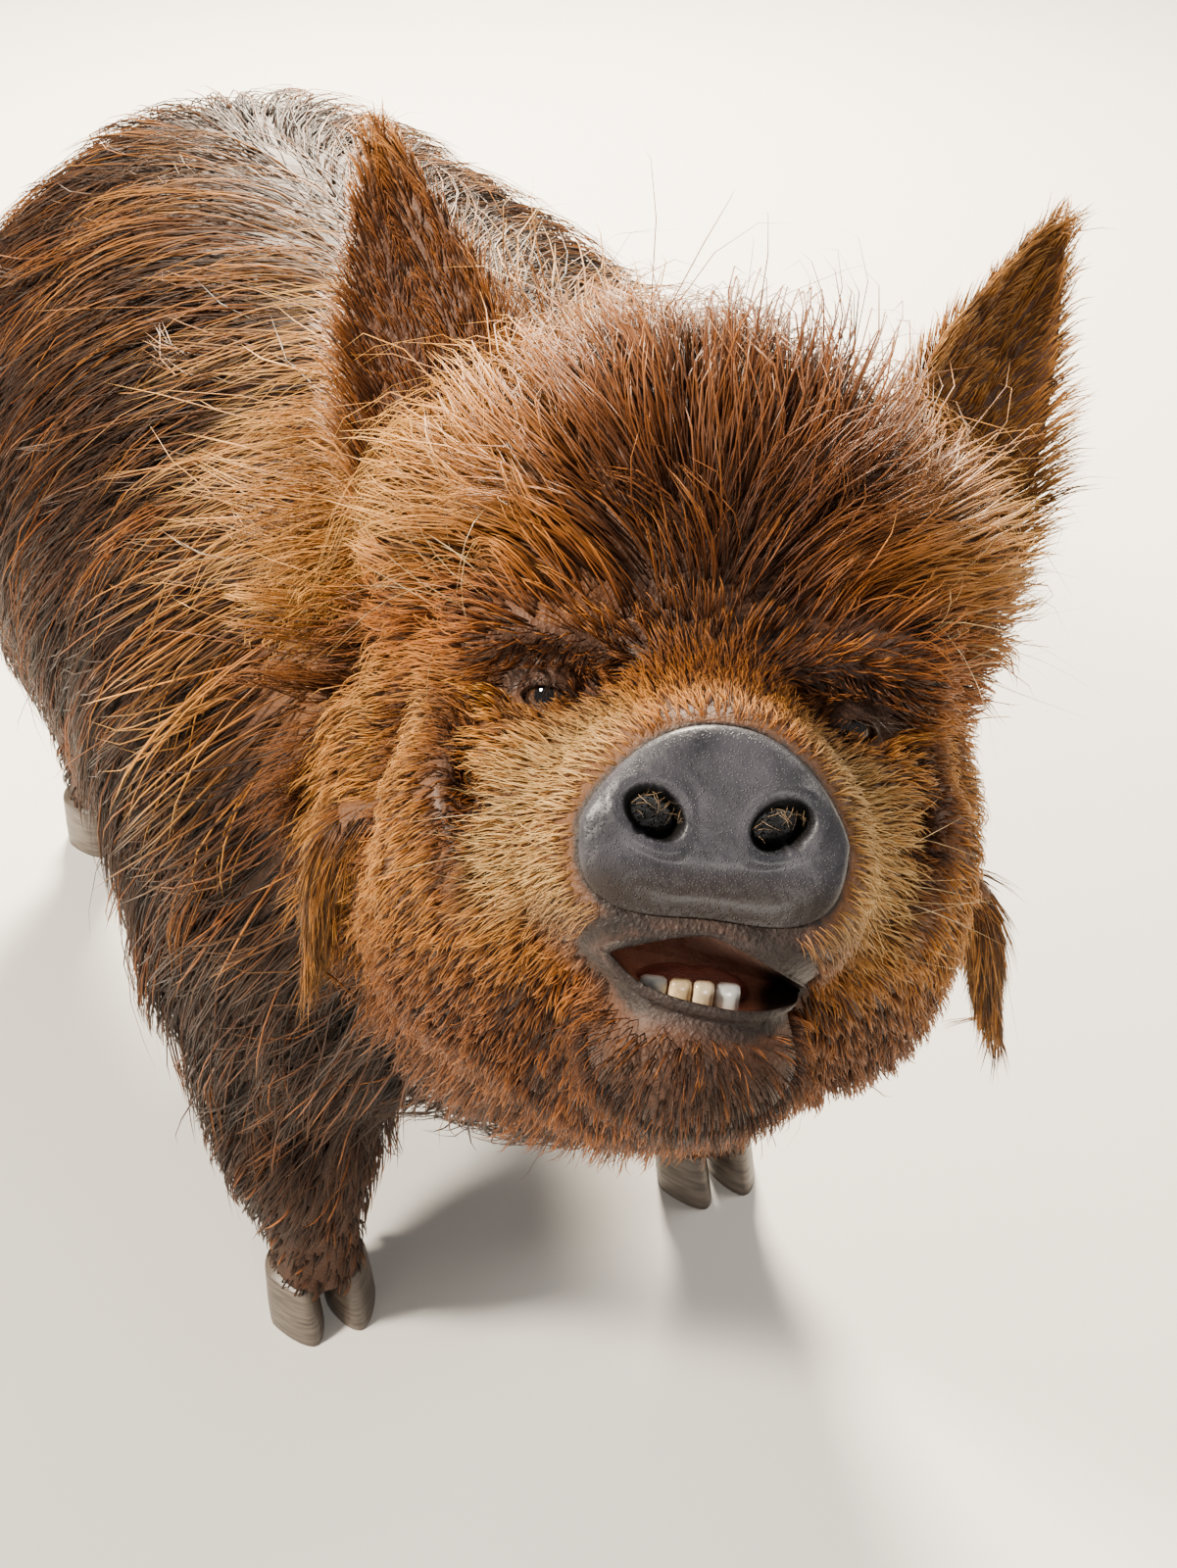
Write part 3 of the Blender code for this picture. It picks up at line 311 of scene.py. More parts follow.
class Grid:
    """Distances from the skin on a turned grid, read between its points."""

    def __init__(self, pose: Pose | None, low: tuple, high: tuple, cell: float) -> None:
        """Measures the flesh at every point of the grid.

        Args:
            pose: the frame the grid stands in, or None for the world.
            low: its lowest corner.
            high: its highest corner.
            cell: distance between its points.
        """
        self.pose = pose
        self.cell = cell
        self.low = np.array(low)
        axes = [np.arange(a, b + cell, cell) for a, b in zip(low, high)]
        self.shape = tuple(len(axis) for axis in axes)
        self.points = np.stack(np.meshgrid(*axes, indexing="ij"), axis=-1)
        flat = self.points.reshape(-1, 3)
        self.values = FLESH.distance(flat if pose is None else pose.world(flat)).reshape(self.shape)
        slopes = np.stack(np.gradient(self.values, cell), axis=-1)
        self.slopes = slopes if pose is None else slopes @ pose.axes.T

    def local(self, points: Array) -> Array:
        """Points of the world in the grid's frame."""
        return points if self.pose is None else self.pose.local(points)

    def holds(self, points: Array) -> Array:
        """Whether each point is inside the grid, clear of its edge."""
        place = (self.local(points) - self.low) / self.cell
        return ((place > 1.0) & (place < np.array(self.shape) - 3.0)).all(axis=1)

    def read(self, table: Array, points: Array) -> Array:
        """Reads a table of the grid at any points, between its own."""
        place = (self.local(points) - self.low) / self.cell
        base = np.clip(np.floor(place).astype(int), 0, np.array(self.shape) - 2)
        part = np.clip(place - base, 0.0, 1.0)
        total = 0.0
        for corner in np.ndindex(2, 2, 2):
            weight = np.prod(np.where(corner, part, 1.0 - part), axis=1)
            value = table[tuple((base + corner).T)]
            total = total + (value * weight if value.ndim == 1 else value * weight[:, None])
        return total

    def surface(self, beyond: Array) -> tuple[Array, Array]:
        """Closed mesh of the skin, one vertex in each crossed cell.

        Args:
            beyond: distance of each grid point past a cut, where nothing is kept.

        Returns:
            Vertices in the grid's frame and faces of four corners.
        """
        values = -blended(np.stack([-self.values.ravel(), -beyond.ravel()]), 0.006).reshape(self.shape)
        inside = values < 0
        total = np.zeros(self.shape + (3,))
        count = np.zeros(self.shape)
        crossings = []
        for axis in range(3):
            here = [slice(None)] * 3
            there = [slice(None)] * 3
            here[axis] = slice(0, -1)
            there[axis] = slice(1, None)
            cells = np.argwhere(inside[tuple(here)] != inside[tuple(there)])
            step, side, other = np.roll(np.eye(3, dtype=int), -axis, axis=0)
            first = values[tuple(cells.T)]
            second = values[tuple((cells + step).T)]
            place = self.points[tuple(cells.T)] + (first / (first - second))[:, None] * step * self.cell
            around = [cells - side - other, cells - other, cells, cells - side]
            for neighbour in around:
                np.add.at(total, tuple(neighbour.T), place)
                np.add.at(count, tuple(neighbour.T), 1)
            crossings.append((around, first < 0))
        used = count > 0
        index = np.full(self.shape, -1)
        index[used] = np.arange(used.sum())
        faces = []
        for around, outwards in crossings:
            corners = np.stack([index[tuple(c.T)] for c in around], axis=1)
            corners[~outwards] = corners[~outwards][:, ::-1]
            faces.append(corners)
        return total[used] / count[used][:, None], np.concatenate(faces)


class Hide:
    """Distances from the skin everywhere, fine on the head and coarser behind it."""

    def __init__(self) -> None:
        """Measures both grids."""
        self.body = Grid(None, (-0.34, -0.45, -0.03), (0.34, 0.78, 0.78), 0.0085)
        self.face = Grid(POSE, (-0.2, -0.035, -0.2), (0.2, 0.335, 0.275), 0.0034)

    def read(self, table: str, points: Array) -> Array:
        """Reads the values or the slopes at points of the world."""
        result = self.body.read(getattr(self.body, table), points)
        fine = self.face.holds(points)
        if fine.any():
            result[fine] = self.face.read(getattr(self.face, table), points[fine])
        return result

    def distance(self, points: Array) -> Array:
        """Signed distance of each point from the skin."""
        return self.read("values", points)

    def outward(self, points: Array) -> Array:
        """Directions straight away from the skin."""
        return unit(self.read("slopes", points))

    def lifted(self, points: Array, height: Array) -> Array:
        """The points moved until they stand at a height over the skin."""
        for _ in range(2):
            points = points + self.outward(points) * (height - self.distance(points))[:, None]
        return points


def linked(name: str, data: ID) -> Object:
    """An object of the scene that holds the data."""
    obj = bpy.data.objects.new(name, data)
    bpy.context.scene.collection.objects.link(obj)
    return obj


def new_object(name: str, vertices: Array, faces: Array) -> Object:
    """A smooth mesh object from arrays.

    Args:
        name: of the object.
        vertices: one row of coordinates each.
        faces: one row of corners each, all of the same length.

    Returns:
        The object, linked to the scene.
    """
    mesh = bpy.data.meshes.new(name)
    vertices = np.asarray(vertices, dtype=np.float32)
    faces = np.asarray(faces, dtype=np.int32)
    mesh.vertices.add(len(vertices))
    mesh.vertices.foreach_set("co", vertices.ravel())
    mesh.loops.add(faces.size)
    mesh.loops.foreach_set("vertex_index", faces.ravel())
    mesh.polygons.add(len(faces))
    mesh.polygons.foreach_set("loop_start", np.arange(0, faces.size, faces.shape[1], dtype=np.int32))
    mesh.update(calc_edges=True)
    mesh.shade_smooth()
    return linked(name, mesh)


def triangles_of(faces: list) -> Array:
    """Triangles of faces with any number of corners."""
    return np.array([(face[0], face[k], face[k + 1]) for face in faces for k in range(1, len(face) - 1)])


def band_triangles(rows: int, count: int, closed: bool = False) -> list[tuple[int, int, int]]:
    """Triangles between rings of points, the last ring meeting the first where they are closed."""
    triangles = []
    for row in range(rows if closed else rows - 1):
        near = row * count
        far = (row + 1) % rows * count
        for k in range(count):
            after = (k + 1) % count
            triangles += [(near + k, near + after, far + after), (near + k, far + after, far + k)]
    return triangles


def rings(name: str, sections: Array) -> Object:
    """A closed body through rings of points.

    Args:
        name: of the object.
        sections: rings × points × 3.

    Returns:
        The body, its ends closed by a fan round their middles.
    """
    rows, count = sections.shape[:2]
    ends = [sections[:1].mean(axis=1), sections[-1:].mean(axis=1)]
    vertices = np.concatenate([sections.reshape(-1, 3), *ends])
    first = rows * count
    top = first - count
    triangles = band_triangles(rows, count)
    for k in range(count):
        after = (k + 1) % count
        triangles.append((first, after, k))
        triangles.append((first + 1, top + k, top + after))
    return face_outwards(new_object(name, vertices, np.array(triangles)))


def face_outwards(obj: Object) -> Object:
    """Turns the faces of a closed mesh outwards."""
    mesh = bmesh.new()
    mesh.from_mesh(obj.data)
    bmesh.ops.recalc_face_normals(mesh, faces=mesh.faces)
    if mesh.calc_volume(signed=True) < 0:
        bmesh.ops.reverse_faces(mesh, faces=mesh.faces)
    mesh.to_mesh(obj.data)
    mesh.free()
    return obj


def ball(place: Matrix, radii: Triple, segments: int, rows: int) -> Object:
    """A closed ellipsoid in a frame."""
    mesh = bmesh.new()
    matrix = place @ Matrix.Diagonal((*radii, 1.0))
    bmesh.ops.create_uvsphere(mesh, u_segments=segments, v_segments=rows, radius=1.0, matrix=matrix)
    bmesh.ops.triangulate(mesh, faces=mesh.faces)
    data = bpy.data.meshes.new("ball")
    mesh.to_mesh(data)
    mesh.free()
    data.shade_smooth()
    return linked("ball", data)


def tube(path: Array, radii: Array, sides: int, closed: bool = False) -> Object:
    """A tapered tube along a path, or a closed ring of it.

    Args:
        path: points along its middle.
        radii: one for each point.
        sides: corners of its section.
        closed: whether its end runs on into its start.

    Returns:
        The tube.
    """
    ahead = np.roll(path, -1, axis=0) - np.roll(path, 1, axis=0)
    if not closed:
        ahead[0] = path[1] - path[0]
        ahead[-1] = path[-1] - path[-2]
    ahead = unit(ahead)
    across = unit(np.cross(ahead, np.array([0.13, 0.05, 0.99])))
    high = np.cross(across, ahead)
    turn = full_turn(sides)[None, :, None]
    ring = across[:, None] * np.cos(turn) + high[:, None] * np.sin(turn)
    sections = path[:, None] + ring * radii[:, None, None]
    if not closed:
        return rings("tube", sections)
    triangles = np.array(band_triangles(len(path), sides, closed=True))
    return face_outwards(new_object("ring", sections.reshape(-1, 3), triangles))


def evaluated_mesh(obj: Object) -> Mesh:
    """A mesh of the object with its modifiers applied."""
    bpy.context.view_layer.update()
    evaluated = obj.evaluated_get(bpy.context.evaluated_depsgraph_get())
    return bpy.data.meshes.new_from_object(evaluated)


def boolean(obj: Object, operation: str, tools: list[Object]) -> None:
    """Applies a Boolean with closed tools, which are removed."""
    for tool in tools:
        modifier = obj.modifiers.new("boolean", "BOOLEAN")
        modifier.operation = operation
        modifier.solver = "MANIFOLD"
        modifier.object = tool
    mesh = evaluated_mesh(obj)
    obj.modifiers.clear()
    obj.data = mesh
    for tool in tools:
        bpy.data.objects.remove(tool)


def points_of(obj: Object) -> Array:
    """The object's vertices as an array."""
    flat = np.empty(len(obj.data.vertices) * 3, dtype=np.float32)
    obj.data.vertices.foreach_get("co", flat)
    return flat.reshape(-1, 3).astype(float)


def join(name: str, objects: list[Object]) -> Object:
    """Makes one mesh of several, which are removed."""
    vertices = []
    faces = []
    offset = 0
    for obj in objects:
        points = points_of(obj)
        faces += [[offset + k for k in polygon.vertices] for polygon in obj.data.polygons]
        vertices.append(points)
        offset += len(points)
        bpy.data.objects.remove(obj)
    return new_object(name, np.concatenate(vertices), triangles_of(faces))


def store_colour(obj: Object, name: str, *columns: Array | float) -> None:
    """Keeps four numbers with each vertex, for the materials to read."""
    rows = np.stack(np.broadcast_arrays(*columns), axis=-1)
    attribute = obj.data.color_attributes.new(name, "FLOAT_COLOR", "POINT")
    attribute.data.foreach_set("color", rows.astype(np.float32).ravel())


def store_map(obj: Object, name: str, rows: Array, faces: Array) -> None:
    """Stores a UV map given for each vertex."""
    layer = obj.data.uv_layers.new(name=name)
    layer.data.foreach_set("uv", rows[faces.ravel()].astype(np.float32).ravel())


def add_node(tree: NodeTree, kind: str, inputs: dict | None = None, **settings: object) -> Node:
    """Adds a node to a tree.

    Args:
        tree: where it goes.
        kind: its type.
        inputs: what each of its sockets, by number or name, is linked or set to.
        settings: its own properties.

    Returns:
        The node.
    """
    node = tree.nodes.new(kind)
    for name, value in settings.items():
        setattr(node, name, value)
    for key, given in (inputs or {}).items():
        if isinstance(given, Socket):
            tree.links.new(given, node.inputs[key])
        else:
            node.inputs[key].default_value = given
    return node


class Paint:
    """Builds the node tree of one material."""

    def __init__(self, name: str) -> None:
        """Starts a material with its own shader."""
        self.material = bpy.data.materials.new(name)
        self.material.use_nodes = True
        self.shader = self.material.node_tree.nodes["Principled BSDF"]

    def set(self, **values: float | tuple) -> "Paint":
        """Sets the shader's own sockets, underscores standing for spaces."""
        for key, value in values.items():
            self.shader.inputs[key.replace("_", " ").title().replace("Ior", "IOR")].default_value = value
        return self

    def link(self, source: Socket, name: str) -> None:
        """Joins a socket to one of the shader's own."""
        self.material.node_tree.links.new(source, self.shader.inputs[name])

    def node(self, kind: str, inputs: dict | None = None, **settings: object) -> Node:
        """Adds a node to the material."""
        return add_node(self.material.node_tree, kind, inputs, **settings)

    def attribute(self, name: str) -> tuple[Socket, ...]:
        """The four channels stored with each vertex."""
        stored = self.node("ShaderNodeAttribute", attribute_name=name)
        split = self.node("ShaderNodeSeparateColor", {"Color": stored.outputs["Color"]})
        return (*split.outputs[:3], stored.outputs["Alpha"])

    def place(self) -> Socket:
        """Object coordinates."""
        return self.node("ShaderNodeTexCoord").outputs["Object"]

    def stretched(self, vector: Socket, scale: Triple) -> Socket:
        """Coordinates stretched along their axes."""
        return self.node("ShaderNodeMapping", {"Vector": vector, "Scale": scale}).outputs["Vector"]

    def noise(self, vector: Socket, scale: float, detail: float = 3.0) -> Socket:
        """Soft random patches."""
        node = self.node("ShaderNodeTexNoise", {"Vector": vector, "Scale": scale, "Detail": detail})
        return node.outputs["Fac"]

    def cells(self, vector: Socket, scale: float) -> Socket:
        """Distance from the middles of random cells."""
        return self.node("ShaderNodeTexVoronoi", {"Vector": vector, "Scale": scale}).outputs["Distance"]

    def ramp(self, factor: Socket, *stops: tuple[float, float | tuple]) -> Socket:
        """Colours along a factor, each stop a place and a colour or a grey."""
        node = self.node("ShaderNodeValToRGB", {"Fac": factor})
        elements = node.color_ramp.elements
        while len(elements) < len(stops):
            elements.new(0.5)
        for element, (place, colour) in zip(elements, stops):
            element.position = place
            shade = (colour,) * 3 if isinstance(colour, float) else colour
            element.color = (*shade, 1.0)
        return node.outputs["Color"]

    def mix(self, factor: float | Socket, first: object, second: object, kind: str = "MIX") -> Socket:
        """Mixes two colours by a factor."""
        first, second = ((*given, 1.0) if isinstance(given, tuple) else given for given in (first, second))
        inputs = {0: factor, 6: first, 7: second}
        node = self.node("ShaderNodeMix", inputs, data_type="RGBA", blend_type=kind, clamp_factor=True)
        return node.outputs[2]

    def tint(self, mask: Socket, share: float, first: Socket, second: Triple) -> Socket:
        """Mixes a colour into another where a mask is up, no further than a share."""
        factor = self.node("ShaderNodeMath", {0: mask, 1: share}, operation="MULTIPLY").outputs[0]
        return self.mix(factor, first, second)

    def shade(self, colour: Socket, by: Socket) -> Socket:
        """Darkens or lightens a colour by another."""
        return self.mix(1.0, colour, by, "MULTIPLY")

    def dapple(self, scale: float, *stops: tuple[float, float | tuple]) -> Socket:
        """Random patches of colour."""
        return self.ramp(self.noise(self.place(), scale), *stops)

    def bump(self, height: Socket, depth: float) -> None:
        """Raises the surface by a height, after any bump before it."""
        node = self.node("ShaderNodeBump", {"Distance": depth, "Height": height})
        for before in self.shader.inputs["Normal"].links:
            self.material.node_tree.links.new(before.from_socket, node.inputs["Normal"])
        self.link(node.outputs["Normal"], "Normal")

    def base(self, colour: Socket) -> None:
        """Gives the shader its colour."""
        self.link(colour, "Base Color")


@dataclass(frozen=True)
class Ear:
    """One pricked, cupped ear."""

    root: Triple = (0.104, 0.19, 0.126)
    tip: Triple = (0.149, 0.234, 0.294)
    half_width: float = 0.042
    thickness: float = 0.0048
    cup: float = 0.024  # depth between the rims at the root
    bend: float = 0.018  # how far the tip leans forwards
    rows: int = 26
    columns: int = 18

    def matrix(self, sign: float) -> Matrix:
        """Frame of the ear on one side: Z from root to tip, Y to the back of the cup."""
        root = HEAD @ mirrored(self.root, sign)
        rise = (HEAD @ mirrored(self.tip, sign) - root).normalized()
        cup = HEAD.to_3x3() @ Vector((-0.42 * sign, 1.0, 0.0))
        back = (cup - rise * cup.dot(rise)).normalized()
        axes = Matrix((back.cross(rise), back, rise)).transposed().to_4x4()
        return Matrix.Translation(root) @ axes

    def inside(self, points: Array, sign: float) -> Array:
        """Points of the world in the ear's frame."""
        matrix = self.matrix(sign)
        return (points - np.array(matrix.to_translation())) @ np.array(matrix.to_3x3())

    @property
    def length(self) -> float:
        """From root to tip."""
        return (Vector(self.tip) - Vector(self.root)).length

    def half(self, share: float | Array) -> float | Array:
        """Half the width of the ear at a share of its length."""
        return self.half_width * (0.8 + 0.75 * share - 1.48 * share**2.2) + 0.0025

    def depth(self, share: float | Array) -> float | Array:
        """Depth of the cup at a share of the ear's length."""
        return self.cup * (1.0 - share) ** 0.8 + 0.003

    def hollow(self, points: Array) -> Array:
        """How far points of the world lie on the inner face of an ear, from 0 to 1."""
        found = np.zeros(len(points))
        for sign in SIDES.values():
            x, y, z = self.inside(points, sign).T
            share = np.clip(z / self.length, 0, 1)
            v = np.clip(x / self.half(share), -1, 1)
            front = y < self.depth(share) * (1 - v * v) - self.bend * share * share
            near = (z > -0.01) & (np.abs(x) < 0.06) & (y > -0.03) & (share < 1.0)
            found = np.maximum(found, (front & near) * (1.0 - v**4) * smooth_step(1.0, 0.75, share))
        return found

    def build(self, sign: float) -> Object:
        """The ear as a closed leaf with a rounded rim."""
        matrix = self.matrix(sign)
        sections = []
        for row in range(self.rows):
            share = row / (self.rows - 1)
            half = self.half(share)
            thick = self.thickness * (1.0 - 0.55 * share)
            height = -0.03 + share * (self.length + 0.03)
            outer = []
            inner = []
            for column in range(self.columns + 1):
                v = 2 * column / self.columns - 1
                fold = 0.0012 * math.sin(7.0 * v + 3.0 * share) * (1 - v * v)
                y = self.depth(share) * (1.0 - v * v) - self.bend * share * share + fold
                rim = math.sqrt(max(1.0 - v**8, 0.03))
                outer.append(matrix @ Vector((half * v, y + thick / 2 * rim, height)))
                inner.append(matrix @ Vector((half * v * 0.985, y - thick / 2 * rim, height)))
            sections.append(outer + inner[::-1])
        return rings("ear", np.array(sections))


@dataclass(frozen=True)
class Wattle:
    """One tassel of skin that hangs from the jowl."""

    root: Triple = (0.136, 0.196, -0.01)
    length: float = 0.08
    count: int = 14  # points below its root

    def path(self, sign: float) -> Array:
        """Points down its middle."""
        start = HEAD @ mirrored(self.root, sign)
        outward = HEAD.to_3x3() @ Vector((sign, 0.0, 0.0))
        outward.z = 0.0
        outward.normalize()
        points = [start - outward * 0.03 + Vector((0.0, 0.0, 0.01))]
        for k in range(self.count):
            share = k / (self.count - 1)
            aside = 0.015 * (1 - (1 - share) ** 4) + 0.01 * share**3
            points.append(start + Vector((0, 0, -self.length * share)) + outward * aside)
        return np.array(points)

    def build(self, sign: float) -> Object:
        """The tassel as a tapered tube."""
        share = np.linspace(0.0, 1.0, self.count)
        radii = np.concatenate([[0.012], 0.0088 * (1 - share) ** 0.6 + 0.0022])
        return tube(self.path(sign), radii, 16)


@dataclass(frozen=True)
class Tail:
    """The tail, hanging in a loose bend."""

    root: Triple = (0.0, 0.615, 0.545)
    count: int = 20  # points behind its root

    def path(self) -> Array:
        """Points down its middle."""
        share = np.linspace(0.0, 1.0, self.count)
        x = 0.022 * np.sin(3.0 * share)
        y = 0.062 * (1 - np.exp(-6 * share))
        z = -0.2 * share**2 - 0.015 * share
        return np.array(self.root) + np.concatenate([[(0.0, -0.05, 0.012)], columns(x, y, z)])

    def build(self) -> Object:
        """The tail as a tapered tube."""
        share = np.linspace(0.0, 1.0, self.count)
        radii = np.concatenate([[0.02], 0.0165 * (1 - share) ** 0.8 + 0.004])
        return tube(self.path(), radii, 14)


@dataclass(frozen=True)
class Face:
    """Sizes of the mouth, the lids and the lips."""

    mouth_place: Triple = (0.0035, 0.034, -0.05)
    mouth_size: Triple = (0.0415, 0.053, 0.015)
    mouth_lean: float = math.radians(7.0)
    mouth_points: int = 72
    lip_radius: float = 0.0042
    eye_place: Triple = (0.0575, 0.099, 0.048)
    eye_radius: float = 0.013
    lid: float = 0.0028
    eye_turn: float = 24.0
    jaw_line: float = -0.059

    def eye_frame(self, sign: float) -> Matrix:
        """Frame of an eye, looking along -Y."""
        place = Matrix.Translation(mirrored(self.eye_place, sign))
        return HEAD @ place @ Matrix.Rotation(math.radians(self.eye_turn * sign), 4, "Z")

    def mouth_outline(self, scale: float) -> tuple[Array, Array]:
        """X and Z round the opening: a peaked arch above, a slack curve below."""
        turn = full_turn(self.mouth_points)
        u = np.cos(turn)
        above = 1.02 * (1.0 - np.abs(u + 0.1 * (1 - u * u)) ** 1.5)
        below = -0.8 * (1.0 - np.abs(u) ** 2.6)
        high = np.where(np.sin(turn) > 0, above, below) + 0.06 * np.sin(turn)
        x = self.mouth_size[0] * scale * u
        z = self.mouth_size[2] * scale * high
        c, s = math.cos(self.mouth_lean), math.sin(self.mouth_lean)
        return self.mouth_place[0] + x * c + z * s, self.mouth_place[2] - x * s + z * c

    def mouth_cavity(self) -> Object:
        """The body that is carved out behind the lips."""
        sections = []
        for step in np.linspace(-0.995, 0.995, 23):
            x, z = self.mouth_outline(math.sqrt(1.0 - step**2))
            sections.append(POSE.place(x, self.mouth_place[1] + self.mouth_size[1] * step, z))
        return rings("cavity", np.array(sections))

    def mouth_rim(self, hide: Hide) -> Array:
        """Points round the mouth, on the skin."""
        x, z = self.mouth_outline(0.93)
        y = np.full(len(x), -0.03)
        for _ in range(60):
            y = y + np.clip(hide.distance(POSE.place(x, y, z)), -0.01, 0.01) * 0.7
        upper = np.clip(np.sin(full_turn(len(x))), 0, 1)
        return POSE.place(x, y + 0.0035 * upper, z)

    def mouth_gap(self, local: Array) -> Array:
        """How far points of the head's frame lie outside the opening, seen from in front."""
        middle = np.array(self.mouth_place)[[0, 2]]
        rim = np.stack(self.mouth_outline(1.0), axis=1) - middle
        flat = local[:, [0, 2]] - middle
        gap = np.full(len(local), 0.1)
        near = np.flatnonzero(np.hypot(flat[:, 0], flat[:, 1]) < 0.075)
        away = np.linalg.norm(flat[near][:, None] - rim[None], axis=2).min(axis=1)
        gap[near] = np.where(polar_ratio(rim, flat[near]) < 1.0, -away, away)
        return gap

    def bare_lip(self, local: Array) -> Array:
        """How far each point is within the hairless edge round the mouth, from 0 to 1."""
        x, z = np.abs(local[:, 0]), local[:, 2]
        wide = 0.0038 + 0.006 * smooth_step(-0.052, -0.066, z) * smooth_step(0.045, 0.02, x)
        wide = wide + 0.0075 * smooth_step(-0.051, -0.042, z) * smooth_step(0.05, 0.036, x)
        edge = smooth_step(wide + 0.0015, wide - 0.0015, self.mouth_gap(local))
        return edge * smooth_step(0.09, 0.075, local[:, 1])

    def lip_radii(self) -> Array:
        """Thickness of the lips round the mouth, thin above and in the corners."""
        height = np.sin(full_turn(self.mouth_points))
        return self.lip_radius * np.where(height > 0, 0.45 + 0.2 * height, 0.45 - 0.6 * height)


FACE = Face()
EAR = Ear()
WATTLE = Wattle()
TAIL = Tail()
FEET = {"fore": -0.012, "hind": 0.45 + 0.098}
CLAW_SPREAD = 0.0188
HOOF_HEIGHT = 0.04
SIDES = {"left": 1.0, "right": -1.0}


@dataclass(frozen=True)
class Markings:
    """Where the coat is golden, dark or dull, the same for skin and hair, painted highlights and painted
    shade among them.
    """

    def masks(self, points: Array) -> Array:
        """Golden, dark, grey and pale shares at points of the world, one column each; the golden, dark and
        pale ones carry painted light and shade too.
        """
        local = POSE.local(points)
        x, y, z = np.abs(local[:, 0]), local[:, 1], local[:, 2]
        height = points[:, 2]
        head = smooth_step(0.3, 0.22, y)
        cheek = area((x, 0.03, 0.065), (z, 0.075, 0.03), (z, -0.085, -0.02))
        # Painted shade under the cheeks: darker low on the sides of the face.
        under = area((z, -0.02, -0.075), (x, 0.03, 0.06))
        muzzle = area((y, 0.075, 0.045), (z, -0.045, -0.02), (z, 0.06, 0.035))
        # Painted shade on the forehead: darker there.
        forehead_shade = area((x, 0.05, 0.025), (z, 0.046, 0.064), (z, 0.14, 0.1))
        crown = area((z, 0.085, 0.125), (x, 0.065, 0.025), (z, 0.215, 0.18))
        sides = area((z, 0.08, 0.12), (x, 0.03, 0.08)) + smooth_step(0.165, 0.205, z)
        # The chin's hair is brown, made darker still by painted shade under the jaw.
        chin = area((z, -0.066, -0.086), (x, 0.06, 0.035), (y, 0.11, 0.07))
        # Darker round the eyes: dark skin there, with painted shade in the sockets under the brow.
        eyes = bell(x, 0.055, 0.02) * bell(z, 0.05, 0.02) * smooth_step(0.16, 0.12, y)
        nape = area((y, 0.205, 0.235), (y, 0.285, 0.25), (z, 0.12, 0.08))
        # Painted light: a sunlit patch on the chest and shoulder below the jowl, more golden and paler, less
        # dark.
        sunlit_chest = bell(y, 0.262, 0.052) * bell(z, 0.07, 0.08) * smooth_step(0.07, 0.11, x)
        # Painted light by height on the trunk: the lower flank darker, partly its darker wet hair and partly
        # painted shade; a golden painted highlight along the top of the back and a pale painted sheen along
        # its crest.
        low = smooth_step(0.69, 0.61, height)
        top = smooth_step(0.57, 0.63, height)
        crest = area((height, 0.61, 0.66), (np.abs(points[:, 0]), 0.15, 0.05))
        # Painted shade in the grooves between the cheek folds and under the brow: darker and less golden
        # there.
        fold = smooth_step(0.013, 0.002, np.min([form.distance(local) for form in FLESH.creases()], axis=0))
        # Painted highlight along the ridges of the cheek folds: more golden and paler, less dark.
        ridge = smooth_step(0.012, 0.003, np.min([form.distance(local) for form in FLESH.ridges()], axis=0))
        gold = head * (0.12 + 0.85 * cheek + muzzle + 0.95 * sides) + (1 - head) * (0.1 + 0.42 * top)
        gold = (gold + 0.5 * ridge + 0.9 * sunlit_chest) * (1.0 - 0.9 * fold)
        dark = head * (0.5 * crown + 0.85 * chin + 0.9 * eyes + 0.72 * under + 0.78 * forehead_shade)
        dark = dark + 0.18 * nape + (1 - head) * (0.12 + 0.56 * low)
        dark = dark * (1.0 - 0.8 * ridge) * (1.0 - 0.9 * sunlit_chest) + 0.78 * fold
        grey = area((y, 0.05, 0.03), (z, -0.02, -0.034), (z, -0.07, -0.056))
        pale = head * (muzzle * smooth_step(0.022, 0.042, x) + 0.2 * sides + 0.25 * ridge)
        pale = pale + (1 - head) * 0.4 * crest + 0.12 * sunlit_chest
        return np.clip(columns(gold, dark, grey, pale), 0, 1)


MARKINGS = Markings()


class SkinFinish:
    """Thick brown skin with a short nap, wet, with grey lips and a dark red mouth."""

    def material(self) -> Material:
        """Builds the material."""
        paint = Paint("skin")
        gold, dark, grey, _ = paint.attribute("Marking")
        lip, mouth, ear, pink = paint.attribute("Flesh")
        place = paint.place()
        base = paint.dapple(22.0, (0.3, (0.04, 0.014, 0.006)), (0.62, (0.085, 0.03, 0.01)))
        # The golden and dark markings carry painted highlights and painted shade onto the skin as well.
        base = paint.tint(gold, 0.5, base, (0.17, 0.065, 0.018))
        base = paint.tint(dark, 0.6, base, (0.02, 0.009, 0.006))
        base = paint.tint(grey, 0.55, base, (0.07, 0.045, 0.038))
        lips = paint.dapple(60.0, (0.3, (0.009, 0.005, 0.004)), (0.7, (0.024, 0.014, 0.011)))
        base = paint.mix(lip, base, paint.mix(pink, lips, (0.22, 0.105, 0.072)))
        base = paint.tint(ear, 0.8, base, (0.055, 0.024, 0.014))
        inside = paint.dapple(70.0, (0.3, (0.56, 0.3, 0.21)), (0.7, (0.78, 0.5, 0.38)))
        paint.base(paint.mix(mouth, base, inside))
        paint.bump(paint.noise(place, 900.0, 2.0), 0.0006)
        paint.bump(paint.cells(place, 420.0), 0.0005)
        paint.set(roughness=0.58, coat_weight=0.04, coat_roughness=0.3, specular_ior_level=0.3)
        return paint.material


